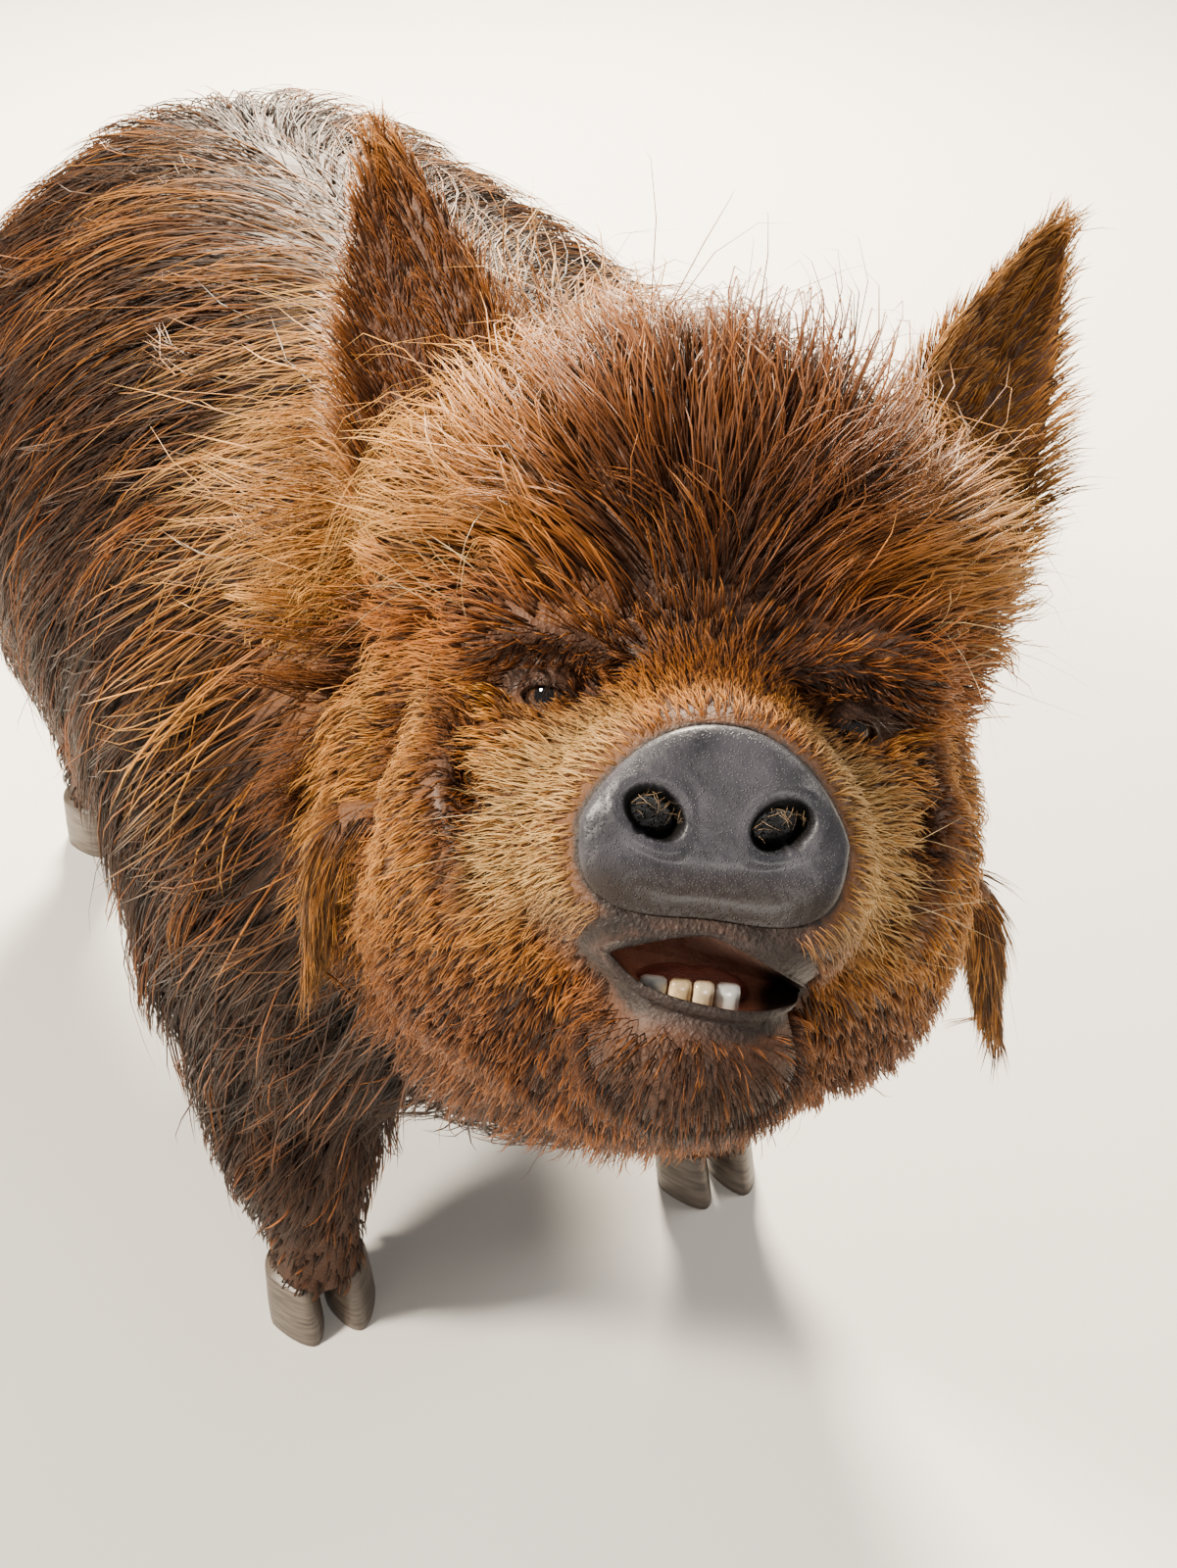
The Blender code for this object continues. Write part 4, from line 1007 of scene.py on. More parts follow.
@dataclass(frozen=True)
class CoatFinish:
    """Coarse hair, wet at its roots and golden at its tips; the near-black roots are partly painted shade
    deep in the coat.
    """

    strands: float = 5.0
    ginger: tuple = (
        (0.0, (0.016, 0.005, 0.002)),
        (0.3, (0.17, 0.042, 0.006)),
        (0.7, (0.44, 0.12, 0.014)),
        (1.0, (0.6, 0.22, 0.036)),
    )
    golden: tuple = (
        (0.0, (0.045, 0.014, 0.003)),
        (0.3, (0.36, 0.115, 0.014)),
        (0.7, (0.7, 0.28, 0.036)),
        (1.0, (0.84, 0.44, 0.1)),
    )
    cream: tuple = (
        (0.0, (0.13, 0.048, 0.01)),
        (0.35, (0.62, 0.3, 0.072)),
        (1.0, (0.95, 0.66, 0.28)),
    )
    brown: tuple = (
        (0.0, (0.012, 0.0045, 0.002)),
        (0.5, (0.088, 0.024, 0.004)),
        (1.0, (0.31, 0.098, 0.015)),
    )

    def material(self) -> Material:
        """Builds the material."""
        paint = Paint("coat")
        along, tone, gold, dark = paint.attribute("Tint")
        _, _, grey, pale = paint.attribute("Marking")
        colour = paint.mix(gold, paint.ramp(along, *self.ginger), paint.ramp(along, *self.golden))
        colour = paint.mix(pale, colour, paint.ramp(along, *self.cream))
        colour = paint.mix(dark, colour, paint.ramp(along, *self.brown))
        colour = paint.tint(grey, 0.5, colour, (0.16, 0.105, 0.08))
        # The tone's ramp darkens or lightens each hair, carrying the painted shade deep in the coat and the
        # painted light on its top.
        colour = paint.shade(colour, paint.ramp(tone, (0.0, 0.07), (0.4, 0.24), (0.58, 0.92), (1.0, 1.35)))
        hair = paint.node("ShaderNodeUVMap", uv_map="Hair").outputs["UV"]
        lines = paint.noise(paint.stretched(hair, (self.strands, 0.35, 1.0)), 1.0, 1.0)
        paint.base(paint.shade(colour, paint.ramp(lines, (0.3, 0.55), (0.65, 1.15))))
        paint.bump(lines, 0.0005)
        paint.set(roughness=0.46, coat_weight=0.045, coat_roughness=0.2, specular_ior_level=0.22)
        return paint.material


class DiscFinish:
    """The rooting disc's dark slate skin, moist and finely pored."""

    def material(self) -> Material:
        """Builds the material."""
        paint = Paint("disc")
        low, pit_shade, _, _ = paint.attribute("Disc")
        place = paint.place()
        colour = paint.dapple(55.0, (0.32, (0.018, 0.018, 0.025)), (0.68, (0.056, 0.053, 0.066)))
        colour = paint.tint(low, 0.95, colour, (0.013, 0.006, 0.003))
        # Painted shade darkens the nostrils' pits to near black.
        colour = paint.mix(pit_shade, colour, (0.002, 0.0013, 0.0012))
        pores = paint.cells(place, 900.0)
        paint.base(paint.shade(colour, paint.ramp(pores, (0.05, 1.9), (0.3, 0.85))))
        paint.bump(paint.noise(place, 190.0), 0.0008)
        paint.bump(paint.ramp(pores, (0.0, 1.0), (0.35, 0.0)), 0.0005)
        paint.set(roughness=0.48, coat_weight=0.06, coat_roughness=0.22, specular_ior_level=0.38)
        return paint.material


@dataclass(frozen=True)
class EyeFinish:
    """A dark wet eye: brown iris, black pupil and a thin rim."""

    zones: tuple = (
        (0.0, (0.003, 0.003, 0.003)),
        (0.3, (0.004, 0.003, 0.003)),
        (0.36, (0.06, 0.028, 0.012)),
        (0.62, (0.022, 0.01, 0.006)),
        (0.72, (0.055, 0.04, 0.035)),
        (1.0, (0.09, 0.06, 0.05)),
    )

    def material(self) -> Material:
        """Builds the material."""
        paint = Paint("eye")
        paint.base(paint.ramp(paint.attribute("Eye")[0], *self.zones))
        paint.set(roughness=0.05, coat_weight=1.0, coat_roughness=0.02)
        return paint.material


class ToothFinish:
    """Worn enamel: bluish white with brown stains towards the gum."""

    def material(self) -> Material:
        """Builds the material."""
        paint = Paint("enamel")
        low, stain, _, _ = paint.attribute("Tooth")
        enamel = paint.mix(stain, (0.8, 0.8, 0.78), (0.66, 0.45, 0.21))
        colour = paint.mix(low, enamel, (0.2, 0.1, 0.045))
        cracks = paint.ramp(paint.noise(paint.place(), 240.0, 4.0), (0.35, 0.75), (0.6, 1.05))
        paint.base(paint.shade(colour, cracks))
        paint.set(roughness=0.22, coat_weight=0.4, coat_roughness=0.08)
        return paint.material


class TongueFinish:
    """A wet tongue with fine papillae."""

    def material(self) -> Material:
        """Builds the material."""
        paint = Paint("tongue_skin")
        paint.base(paint.dapple(110.0, (0.3, (0.13, 0.022, 0.018)), (0.7, (0.3, 0.075, 0.06))))
        paint.bump(paint.cells(paint.place(), 700.0), 0.0005)
        paint.set(roughness=0.28, coat_weight=0.5, coat_roughness=0.12)
        return paint.material


class HornFinish:
    """Dark hoof horn with growth lines."""

    def material(self) -> Material:
        """Builds the material."""
        paint = Paint("horn")
        lines = paint.noise(paint.stretched(paint.place(), (1.0, 1.0, 9.0)), 45.0)
        paint.base(paint.ramp(lines, (0.3, (0.04, 0.03, 0.024)), (0.7, (0.135, 0.105, 0.08))))
        paint.bump(lines, 0.0009)
        paint.set(roughness=0.45, coat_weight=0.15, coat_roughness=0.3)
        return paint.material


@dataclass(frozen=True)
class BristleFinish:
    """Stiff single hairs of one colour."""

    name: str
    colour: Triple

    def material(self) -> Material:
        """Builds the material."""
        paint = Paint(self.name)
        dark = tuple(0.55 * part for part in self.colour)
        paint.base(paint.dapple(300.0, (0.35, dark), (0.65, self.colour)))
        paint.set(roughness=0.38, coat_weight=0.15, coat_roughness=0.2)
        return paint.material


@dataclass(frozen=True)
class Skin:
    """The one closed skin of the animal, with ears, lids, lips, wattles and tail."""

    hide: Hide
    eye_play: float = 0.0002  # gap round each eyeball
    slit: Triple = (0.0118, 0.021, 0.0048)  # radii of the opening between the lids
    nodes: str = (
        "head jaw ear_left ear_right wattle_left wattle_right neck shoulders barrel rump tail "
        "foreleg_left foreleg_right hindleg_left hindleg_right"
    )

    def build(self) -> Object:
        """Joins every form of flesh and carves the mouth, the lids and the disc's seat."""
        hide = self.hide
        past = (NECK_CUT - OVERLAP) - POSE.local(hide.body.points.reshape(-1, 3))[:, 1]
        skin = new_object("skin", *hide.body.surface(past))
        vertices, faces = hide.face.surface(hide.face.points[..., 1] - (NECK_CUT + OVERLAP))
        head = new_object("head_skin", POSE.world(vertices), faces)
        added = [head, TAIL.build(), tube(FACE.mouth_rim(hide), FACE.lip_radii(), 12, closed=True)]
        carved = [FACE.mouth_cavity(), self.seat()]
        for sign in SIDES.values():
            eye = FACE.eye_frame(sign)
            shell = FACE.eye_radius + FACE.lid
            added += [EAR.build(sign), WATTLE.build(sign), ball(eye, (shell, shell, shell), 40, 28)]
            added += self.dewclaws(sign)
            hole = FACE.eye_radius + self.eye_play
            gap = eye @ Matrix.Translation((0.0, -0.022, -0.0008))
            carved += [ball(eye, (hole, hole, hole), 40, 28), ball(gap, self.slit, 40, 20)]
        boolean(skin, "UNION", added)
        boolean(skin, "DIFFERENCE", carved)
        boolean(skin, "DIFFERENCE", [self.ground()])
        skin.data.shade_smooth()
        return skin

    def dewclaws(self, sign: float) -> list[Object]:
        """The small claws behind the legs of one side."""
        made = []
        radii = np.array([0.0086, 0.0086, 0.0042])
        for y in FEET.values():
            for step in (-1.0, 1.0):
                place = Vector((sign * FLESH.spread + step * 0.014, y + 0.031, 0.064))
                top = place + Vector((0, -0.018, 0.01))
                tip = place + Vector((step * 0.002, 0.008, -0.014))
                made.append(tube(np.array([top, place, tip]), radii, 12))
        return made

    def seat(self) -> Object:
        """A plug in the disc's outline that makes room for it in the snout's end."""
        x, z = DISC.outline().T
        sizes = ((-0.04, 0.971), (0.0078, 0.971), (0.02, 0.9))
        return rings("seat", np.array([POSE.place(x * size, y, z * size) for y, size in sizes]))

    def ground(self) -> Object:
        """A block up to the top of the hooves, where the legs are cut off."""
        corners = [(x, y, z) for z in (-1.0, HOOF_HEIGHT) for y in (-1.0, 2.0) for x in (-1.0, 1.0)]
        quads = [(0, 2, 3, 1), (4, 5, 7, 6), (0, 1, 5, 4), (2, 6, 7, 3), (0, 4, 6, 2), (1, 3, 7, 5)]
        return face_outwards(new_object("ground", np.array(corners), triangles_of(quads)))

    def dress(self, skin: Object) -> None:
        """Stores the markings and gives the skin its material."""
        points = points_of(skin)
        store_colour(skin, "Marking", *MARKINGS.masks(points).T)
        local = POSE.local(points)
        x, y, z = local.T
        from_disc = DISC.ratio(local)
        deep = np.linalg.norm((local - np.array(FACE.mouth_place)) / np.array(FACE.mouth_size), axis=1)
        lip = np.maximum(FACE.bare_lip(local), smooth_step(1.06, 1.02, from_disc) * (y < 0.03))
        mouth = smooth_step(-0.0035, -0.008, self.hide.distance(points)) * (deep < 1.4)
        mouth = mouth * ((from_disc > 1.2) | (y > 0.022))
        edge = bell(FACE.mouth_gap(local), 0.0006, 0.0013) * smooth_step(-0.054, -0.044, z)
        patch = 0.2 * bell(x, -0.01, 0.014) * bell(z, -0.072, 0.005)
        pink = np.maximum(patch, 0.15 * edge * smooth_step(0.03, 0.0, x))
        store_colour(skin, "Flesh", lip, mouth, EAR.hollow(points), pink)
        skin.data.materials.clear()
        skin.data.materials.append(SkinFinish().material())

    def unwrap(self, skin: Object) -> None:
        """Lays the skin out flat in the map that the coat's patches use."""
        skin.data.uv_layers.new(name="OFBake")
        bpy.ops.object.select_all(action="DESELECT")
        skin.select_set(True)
        bpy.context.view_layer.objects.active = skin
        bpy.ops.object.mode_set(mode="EDIT")
        bpy.ops.mesh.select_all(action="SELECT")
        bpy.ops.uv.smart_project(angle_limit=math.radians(66), island_margin=0.002)
        bpy.ops.object.mode_set(mode="OBJECT")


class Region(Enum):
    """Parts of the coat that grow differently."""

    BODY = 0
    LEG = 1
    CROWN = 2
    FACE = 3
    SNOUT = 4
    CHIN = 5
    EAR = 6
    WATTLE = 7
    TAIL = 8


@dataclass(frozen=True)
class Growth:
    """How the hair of one region grows."""

    density: float  # hairs per square metre
    length: float
    width: float
    clump: float  # distance between clumps
    pull: float  # how far the tips of a clump come together
    low: float  # lowest reach, in depths of the coat
    high: float
    wave: float
    stations: int = 6  # points along each hair
    strays: float = 0.02
    shade: float = 1.0  # how dark its darker hairs may be


GROWTHS = {
    Region.BODY: Growth(16500, 0.12, 0.0013, 0.021, 0.94, 0.08, 0.95, 0.3),
    Region.LEG: Growth(20000, 0.04, 0.0014, 0.012, 0.65, 0.25, 0.8, 0.22, 5),
    Region.CROWN: Growth(110000, 0.092, 0.0008, 0.016, 0.84, 0.15, 1.35, 0.36, 5, 0.05, 0.78),
    Region.FACE: Growth(185000, 0.024, 0.0007, 0.0062, 0.55, 0.22, 0.95, 0.25, 4, 0.01, 0.8),
    Region.SNOUT: Growth(300000, 0.013, 0.0005, 0.004, 0.35, 0.4, 1.2, 0.25, 4, 0.0, 0.624),
    Region.CHIN: Growth(165000, 0.021, 0.0005, 0.006, 0.5, 0.25, 0.85, 0.25, 4, 0.02, 0.8),
    Region.EAR: Growth(195000, 0.036, 0.0007, 0.01, 0.35, 0.3, 1.0, 0.22, 4, 0.02, 0.68),
    Region.WATTLE: Growth(260000, 0.028, 0.0007, 0.009, 0.55, 0.3, 1.0, 0.3, 5),
    Region.TAIL: Growth(34000, 0.055, 0.0014, 0.01, 0.65, 0.3, 1.0, 0.3, 5),
}


@dataclass
class Roots:
    """Where hairs stand on the skin."""

    points: Array
    normals: Array
    uv: Array
    region: Array

    def __post_init__(self) -> None:
        """Finds their places in the head's frame."""
        self.local = POSE.local(self.points)

    def of(self, region: Region) -> "Roots":
        """The roots in one region."""
        chosen = self.region == region.value
        return Roots(self.points[chosen], self.normals[chosen], self.uv[chosen], self.region[chosen])


@dataclass
class Hairs:
    """Hairs as paths, with what their mesh needs, a row for each."""

    paths: Array  # hairs × stations × 3
    normals: Array  # away from the skin at each station
    width: Array
    tone: Array  # how light each hair is
    masks: Array  # markings at the roots
    uv: Array  # place of each root on the skin's unwrap

    def take(self, chosen: Array) -> "Hairs":
        """Some of the hairs."""
        return Hairs(*(getattr(self, field.name)[chosen] for field in fields(self)))


@dataclass
class Coat:
    """All the hair of the animal, drawn from one seed."""

    hide: Hide
    skin: Object
    seed: int = 11
    leg_top: float = 0.215  # height under which the legs' short hair grows
    root_depth: float = 0.0012  # how far a root stands under the skin
    loose_depth: float = 0.0008  # the same on ears, wattles and tail
    clump_lift: float = 0.012  # where clumps are told apart, over the skin
    patch: float = 0.003  # side of a hair's own square in the skin's unwrap

    def __post_init__(self) -> None:
        """Reads the skin's triangles and their regions."""
        self.dice = np.random.default_rng(self.seed)
        mesh = self.skin.data
        mesh.calc_loop_triangles()
        count = len(mesh.loop_triangles)
        corners = np.empty(count * 3, dtype=np.int32)
        loops = np.empty(count * 3, dtype=np.int32)
        mesh.loop_triangles.foreach_get("vertices", corners)
        mesh.loop_triangles.foreach_get("loops", loops)
        uv = np.empty(len(mesh.loops) * 2, dtype=np.float32)
        mesh.uv_layers["OFBake"].data.foreach_get("uv", uv)
        self.corners = points_of(self.skin)[corners.reshape(-1, 3)]
        self.uv = uv.reshape(-1, 2)[loops.reshape(-1, 3)].astype(float)
        normals = np.cross(self.corners[:, 1] - self.corners[:, 0], self.corners[:, 2] - self.corners[:, 0])
        self.area = np.linalg.norm(normals, axis=1) / 2
        self.normals = unit(normals)
        self.middle = self.corners.mean(axis=1)
        self.region = self.find_regions(self.middle)

    def find_regions(self, points: Array) -> Array:
        """Which region each point belongs to, or -1 where no hair grows."""
        local = POSE.local(points)
        x, y, z = np.abs(local[:, 0]), local[:, 1], local[:, 2]
        away = self.hide.distance(points)
        region = np.full(len(points), Region.BODY.value)
        region[points[:, 2] < self.leg_top] = Region.LEG.value
        face = y < NECK_CUT + 0.01
        region[face] = Region.FACE.value
        region[face & (z > 0.075 - 0.2 * np.clip(y - 0.12, 0, 1)) & (y > 0.085)] = Region.CROWN.value
        region[face & (y < 0.062) & (z > -0.052)] = Region.SNOUT.value
        region[face & (z < -0.066) & (x < 0.052)] = Region.CHIN.value
        loose = away > 0.0025
        region[loose & (z > 0.06) & (x > 0.045) & (y < 0.33) & (away > 0.004)] = Region.EAR.value
        region[loose & (z < 0.06) & (x > 0.1) & (y < 0.3) & (points[:, 1] < 0.2)] = Region.WATTLE.value
        region[loose & (points[:, 1] > 0.5) & (points[:, 2] > 0.2)] = Region.TAIL.value
        bare = (FACE.bare_lip(local) > 0.5) | ((y < 0.09) & (FACE.mouth_gap(local) < 0.0))
        bare |= (y < 0.024) & (DISC.ratio(local) < 1.005)
        for sign in SIDES.values():
            eye = np.linalg.norm(local - np.array(mirrored(FACE.eye_place, sign)), axis=1)
            bare |= eye < FACE.eye_radius + 0.0056
        bare |= points[:, 2] < HOOF_HEIGHT + 0.002
        region[bare] = -1
        return region

    def scatter(self) -> Roots:
        """Draws the roots, as dense on each face as its region asks."""
        density = np.zeros(len(self.area))
        for region, growth in GROWTHS.items():
            density[self.region == region.value] = growth.density
        wanted = density * self.area
        total = int(wanted.sum())
        face = self.dice.choice(len(wanted), size=total, p=wanted / wanted.sum())
        a = np.sqrt(self.dice.random(total))
        b = self.dice.random(total)
        weights = columns(1 - a, a * (1 - b), a * b)[:, :, None]
        points = (self.corners[face] * weights).sum(axis=1)
        uv = (self.uv[face] * weights).sum(axis=1)
        return Roots(points, self.normals[face], uv, self.region[face])

    def lie(self, points: Array) -> Array:
        """Directions along which the hair lies on head and body."""
        x, y, z = POSE.local(points).T
        low = smooth_step(0.6, 0.25, points[:, 2])
        trunk = columns(0.75 * np.tanh(points[:, 0] / 0.1), 0.62 - 0.25 * low, -0.85 - 0.5 * low)
        whorl = columns(x - 0.004, 0.03 + 0.35 * y, z - 0.052)
        snout = columns(x, 0.05, z - 0.004)
        near = smooth_step(0.055, 0.085, y)[:, None]
        face = unit(unit(snout) * (1 - near) + unit(whorl) * near) @ POSE.axes.T
        behind = np.clip((y - 0.17) / 0.08, 0.0, 1.0)[:, None]
        return unit(face * (1 - behind) + unit(trunk) * behind + np.array([0.0, 0.0, -0.15]))

    def lie_loose(self, roots: Roots) -> Array:
        """Directions for the hair of ears, wattles and tail."""
        x = roots.local[:, 0]
        hanging = roots.region == Region.WATTLE.value
        lie = columns(0.18 * np.where(x > 0, 1.0, -1.0) * hanging, 0.15 * ~hanging, -1.0)
        for sign in SIDES.values():
            chosen = (roots.region == Region.EAR.value) & (x * sign > 0)
            edge = np.clip(EAR.inside(roots.points[chosen], sign)[:, 0] / 0.036, -1, 1)
            heading = columns(0.5 * edge, -0.1 - 0.2 * edge**2, 1.0)
            lie[chosen] = unit(heading) @ np.array(EAR.matrix(sign).to_3x3()).T
        return unit(lie - roots.normals * (lie * roots.normals).sum(axis=1, keepdims=True))

    def trace(self, place: Array, tip: Array, length: Array, swing: Array, bend: Array, count: int) -> Array:
        """Paths of hairs from their roots over the skin.

        Args:
            place: their roots.
            tip: height of each tip over the skin.
            length: of each hair.
            swing: first turn away from the lie.
            bend: turn added along the hair.
            count: points on each path.

        Returns:
            Hairs × points × 3.
        """
        place = place - self.hide.outward(place) * self.root_depth
        paths = [place]
        for share in np.linspace(0.0, 1.0, count)[1:]:
            away = self.hide.outward(place)
            lie = self.lie(place)
            flat = unit(lie - away * (lie * away).sum(axis=1, keepdims=True))
            turn = (swing + bend * share)[:, None]
            flat = flat * np.cos(turn) + np.cross(away, flat) * np.sin(turn)
            height = tip * (1.0 - (1.0 - share) ** 1.8)
            place = self.hide.lifted(place + flat * (length / (count - 1))[:, None], height)
            paths.append(place)
        return np.stack(paths, axis=1)

    def straight(self, roots: Roots, length: Array, bend: Array, stations: int) -> Array:
        """Paths of hairs on ears, wattles and tail."""
        lie = self.lie_loose(roots)
        side = np.cross(lie, roots.normals)
        rise = np.where(roots.region == Region.WATTLE.value, 0.08, 0.26)[:, None]
        heading = unit(lie + rise * roots.normals)
        paths = []
        for share in np.linspace(0.0, 1.0, stations):
            step = heading * (length * share)[:, None] + side * (length * bend * share**2)[:, None] * 0.5
            droop = np.array([0.0, 0.0, -0.3]) * (length * share**2)[:, None]
            paths.append(roots.points - roots.normals * self.loose_depth + step + droop)
        return np.stack(paths, axis=1)

    def gather(self, paths: Array, roots: Roots, spacing: float, pull: Array) -> tuple:
        """Draws the tips of neighbouring hairs together into wet clumps.

        Args:
            paths: hairs × stations × 3.
            roots: where they start.
            spacing: distance between clumps.
            pull: how far each hair's tip is drawn in.

        Returns:
            The gathered paths and the clump that each hair is in.
        """
        points = roots.points + roots.normals * self.clump_lift
        order = self.dice.permutation(len(points))
        cells = np.floor(points[order] / spacing).astype(int)
        _, first = np.unique(cells, axis=0, return_index=True)
        leaders = order[first]
        tree = KDTree(len(leaders))
        for number, leader in enumerate(leaders):
            tree.insert(points[leader], number)
        tree.balance()
        clump = np.array([tree.find(point)[1] for point in points])
        lead = paths[leaders[clump]]
        shares = np.linspace(0.0, 1.0, paths.shape[1])
        pull = pull * self.dice.uniform(0.55, 1.1, len(paths))
        amount = pull[:, None, None] * shares[None, :, None] ** 1.2
        return paths + (lead - paths) * np.clip(amount, 0, 0.97), clump

    def grow(self, roots: Roots, region: Region) -> Hairs:
        """Grows the hair of one region, given the roots of every hair."""
        growth = GROWTHS[region]
        own = roots.of(region)
        count = len(own.points)
        dice = self.dice
        length = growth.length * dice.uniform(0.65, 1.25, count)
        swing = dice.normal(0.0, 0.1, count)
        bend = dice.normal(0.0, growth.wave, count)
        stray = dice.random(count) < growth.strays
        length = np.where(stray, length * 1.3, length)
        bend = np.where(stray, bend * 1.4, bend)
        if region in (Region.EAR, Region.WATTLE, Region.TAIL):
            if region is Region.EAR:
                length = length * self.ear_lengths(own)
            reach = dice.random(count)
            paths = self.straight(own, length, bend, growth.stations)
            normals = np.repeat(own.normals[:, None], growth.stations, axis=1)
        else:
            reach = dice.uniform(growth.low, growth.high, count) * np.where(stray, 1.5, 1.0)
            behind = own.local[:, 1]
            ruff = smooth_step(0.185, 0.225, behind) * smooth_step(0.3, 0.25, behind)
            depth = FLESH.coat_depth(own.points)
            tip = depth * (reach * (1.0 + 0.7 * ruff))
            length = self.trimmed(own, length * self.lengths(own, depth, region))
            paths = self.trace(own.points, tip, length, swing, bend, growth.stations)
            normals = self.hide.outward(paths.reshape(-1, 3)).reshape(paths.shape)
        paths, clump = self.gather(paths, own, growth.clump, np.where(stray, 0.0, growth.pull))
        # Hairs lying low in the coat get darker tones and the top ones lighter: painted shade and painted
        # light; the clump's share and the hair's own share are random.
        reach_shade = np.clip((reach - growth.low) / (growth.high - growth.low), 0, 1)
        tone = 0.4 * dice.random(clump.max() + 1)[clump] + 0.38 * reach_shade + 0.22 * dice.random(count)
        tone, masks = self.tinted(own, region, 1.0 - (1.0 - tone) * growth.shade)
        width = growth.width * dice.uniform(0.7, 1.25, count) * np.where(stray, 0.7, 1.0)
        return Hairs(paths, normals, width, tone, masks, own.uv)

    def tinted(self, roots: Roots, region: Region, tone: Array) -> tuple[Array, Array]:
        """Tones and markings of the hairs of one region, with painted shade on the lower flank, the chin and
        the ears' hollows.

        Args:
            roots: where they stand.
            region: theirs.
            tone: how light each hair is as drawn.

        Returns:
            Their tones and one row of markings each.
        """
        masks = MARKINGS.masks(roots.points)
        if region is Region.EAR:
            # Painted shade in the ears' hollows, strongest on the right ear, which is also painted darker and
            # less pale all over; the left ear is painted lighter, as if sunlit.
            right = roots.local[:, 0] < 0
            hollow = np.clip(1.3 * EAR.hollow(roots.points), 0, 1) * np.where(right, 1.0, 0.3)
            masks[:, 0] = np.where(right, 0.45, 0.7) - 0.35 * hollow
            masks[:, 1] = np.where(right, 0.12, 0.03) + 0.78 * hollow
            masks[:, 3] = np.where(right, 0.08, 0.3) * (1.0 - hollow)
        elif region in (Region.BODY, Region.LEG):
            # Hairs lower on the flank get darker tones: partly the wet coat's colour and partly painted
            # shade.
            lower = smooth_step(0.675, 0.58, roots.points[:, 2]) * (1.0 - masks[:, 0])
            tone = tone ** (1.25 + 1.45 * lower)
            masks[:, 1] *= 0.55 if region is Region.LEG else 1.0
        elif region is Region.CHIN:
            # Painted shade under the jaw: the chin's hairs are darker.
            tone = tone**1.8
        elif region is Region.WATTLE:
            masks[:] = (0.6, 0.02, 0.0, 0.0)
        return tone, masks

    def lengths(self, roots: Roots, depth: Array, region: Region) -> Array:
        """How much longer or shorter than its region's hair each hair is."""
        y, z = roots.local[:, 1], roots.local[:, 2]
        if region is Region.FACE:
            brow = smooth_step(0.03, 0.075, z) * smooth_step(0.085, 0.11, y)
            return 0.55 + 1.3 * smooth_step(0.17, 0.24, y) + 0.35 * brow
        if region is Region.CROWN:
            return 0.26 + 0.85 * smooth_step(0.072, 0.145, z)
        if region is Region.SNOUT:
            return 1.0 + 0.5 * smooth_step(0.025, 0.06, y)
        if region is Region.LEG:
            return 0.45 + 1.0 * smooth_step(0.08, 0.2, roots.points[:, 2])
        return np.clip(depth / 0.022, 0.5, 1.2)

    def trimmed(self, roots: Roots, length: Array) -> Array:
        """Lengths cut so that no hair lies across the mouth or an eye, or reaches the floor."""
        near_mouth = 0.4 + 0.6 * smooth_step(0.003, 0.018, FACE.mouth_gap(roots.local))
        folded = roots.local.copy()
        folded[:, 0] = np.abs(folded[:, 0])
        away = np.linalg.norm(folded - np.array(FACE.eye_place), axis=1)
        near_eye = 0.28 + 0.72 * smooth_step(FACE.eye_radius + 0.006, FACE.eye_radius + 0.024, away)
        return np.minimum(length * near_mouth * near_eye, (roots.points[:, 2] - 0.018) * 1.1)

    def ear_lengths(self, roots: Roots) -> Array:
        """Longer hair along the rims and at the tips of the ears."""
        grown = np.ones(len(roots.points))
        for sign in SIDES.values():
            chosen = roots.local[:, 0] * sign > 0
            inside = EAR.inside(roots.points[chosen], sign)
            edge = smooth_step(0.02, 0.044, np.abs(inside[:, 0]))
            tip = smooth_step(0.7, 1.0, inside[:, 2] / EAR.length)
            grown[chosen] = 0.5 + 0.75 * edge + 0.4 * tip
        return grown

    def mesh(self, name: str, hairs: Hairs) -> Object:
        """Closed tapered blades along paths, each a ridge over a flat underside.

        Args:
            name: of the piece.
            hairs: that it is made of.

        Returns:
            The piece, with its maps and tints stored.
        """
        paths = hairs.paths
        count, stations = paths.shape[:2]
        shares = np.linspace(0.0, 1.0, stations)
        taper = np.interp(shares, [0, 0.25, 0.6, 0.85, 1.0], [0.7, 1.0, 0.9, 0.55, 0.0])
        ahead = np.empty_like(paths)
        ahead[:, 1:-1] = paths[:, 2:] - paths[:, :-2]
        ahead[:, 0] = paths[:, 1] - paths[:, 0]
        ahead[:, -1] = paths[:, -1] - paths[:, -2]
        flat = unit(ahead.reshape(-1, 3))
        across = unit(np.cross(flat, hairs.normals.reshape(-1, 3)))
        high = np.cross(across, flat).reshape(paths.shape)
        across = across.reshape(paths.shape)
        half = (hairs.width[:, None] / 2 * taper)[:, :, None]
        ring = np.stack([paths - across * half, paths + across * half, paths + high * half * 0.9], axis=2)
        vertices = np.concatenate([ring[:, :-1].reshape(count, -1, 3), paths[:, -1:]], axis=1)
        per = vertices.shape[1]
        pattern = self.blade(stations)
        faces = (pattern[None] + (np.arange(count) * per)[:, None, None]).reshape(-1, 3)
        obj = new_object(name, vertices.reshape(-1, 3), faces)
        along = np.append(np.repeat(shares[:-1], 3), 1.0)
        sideways = np.append(np.tile([0.0, 1.0, 0.5], stations - 1), 0.5)
        tone = hairs.tone[:, None]
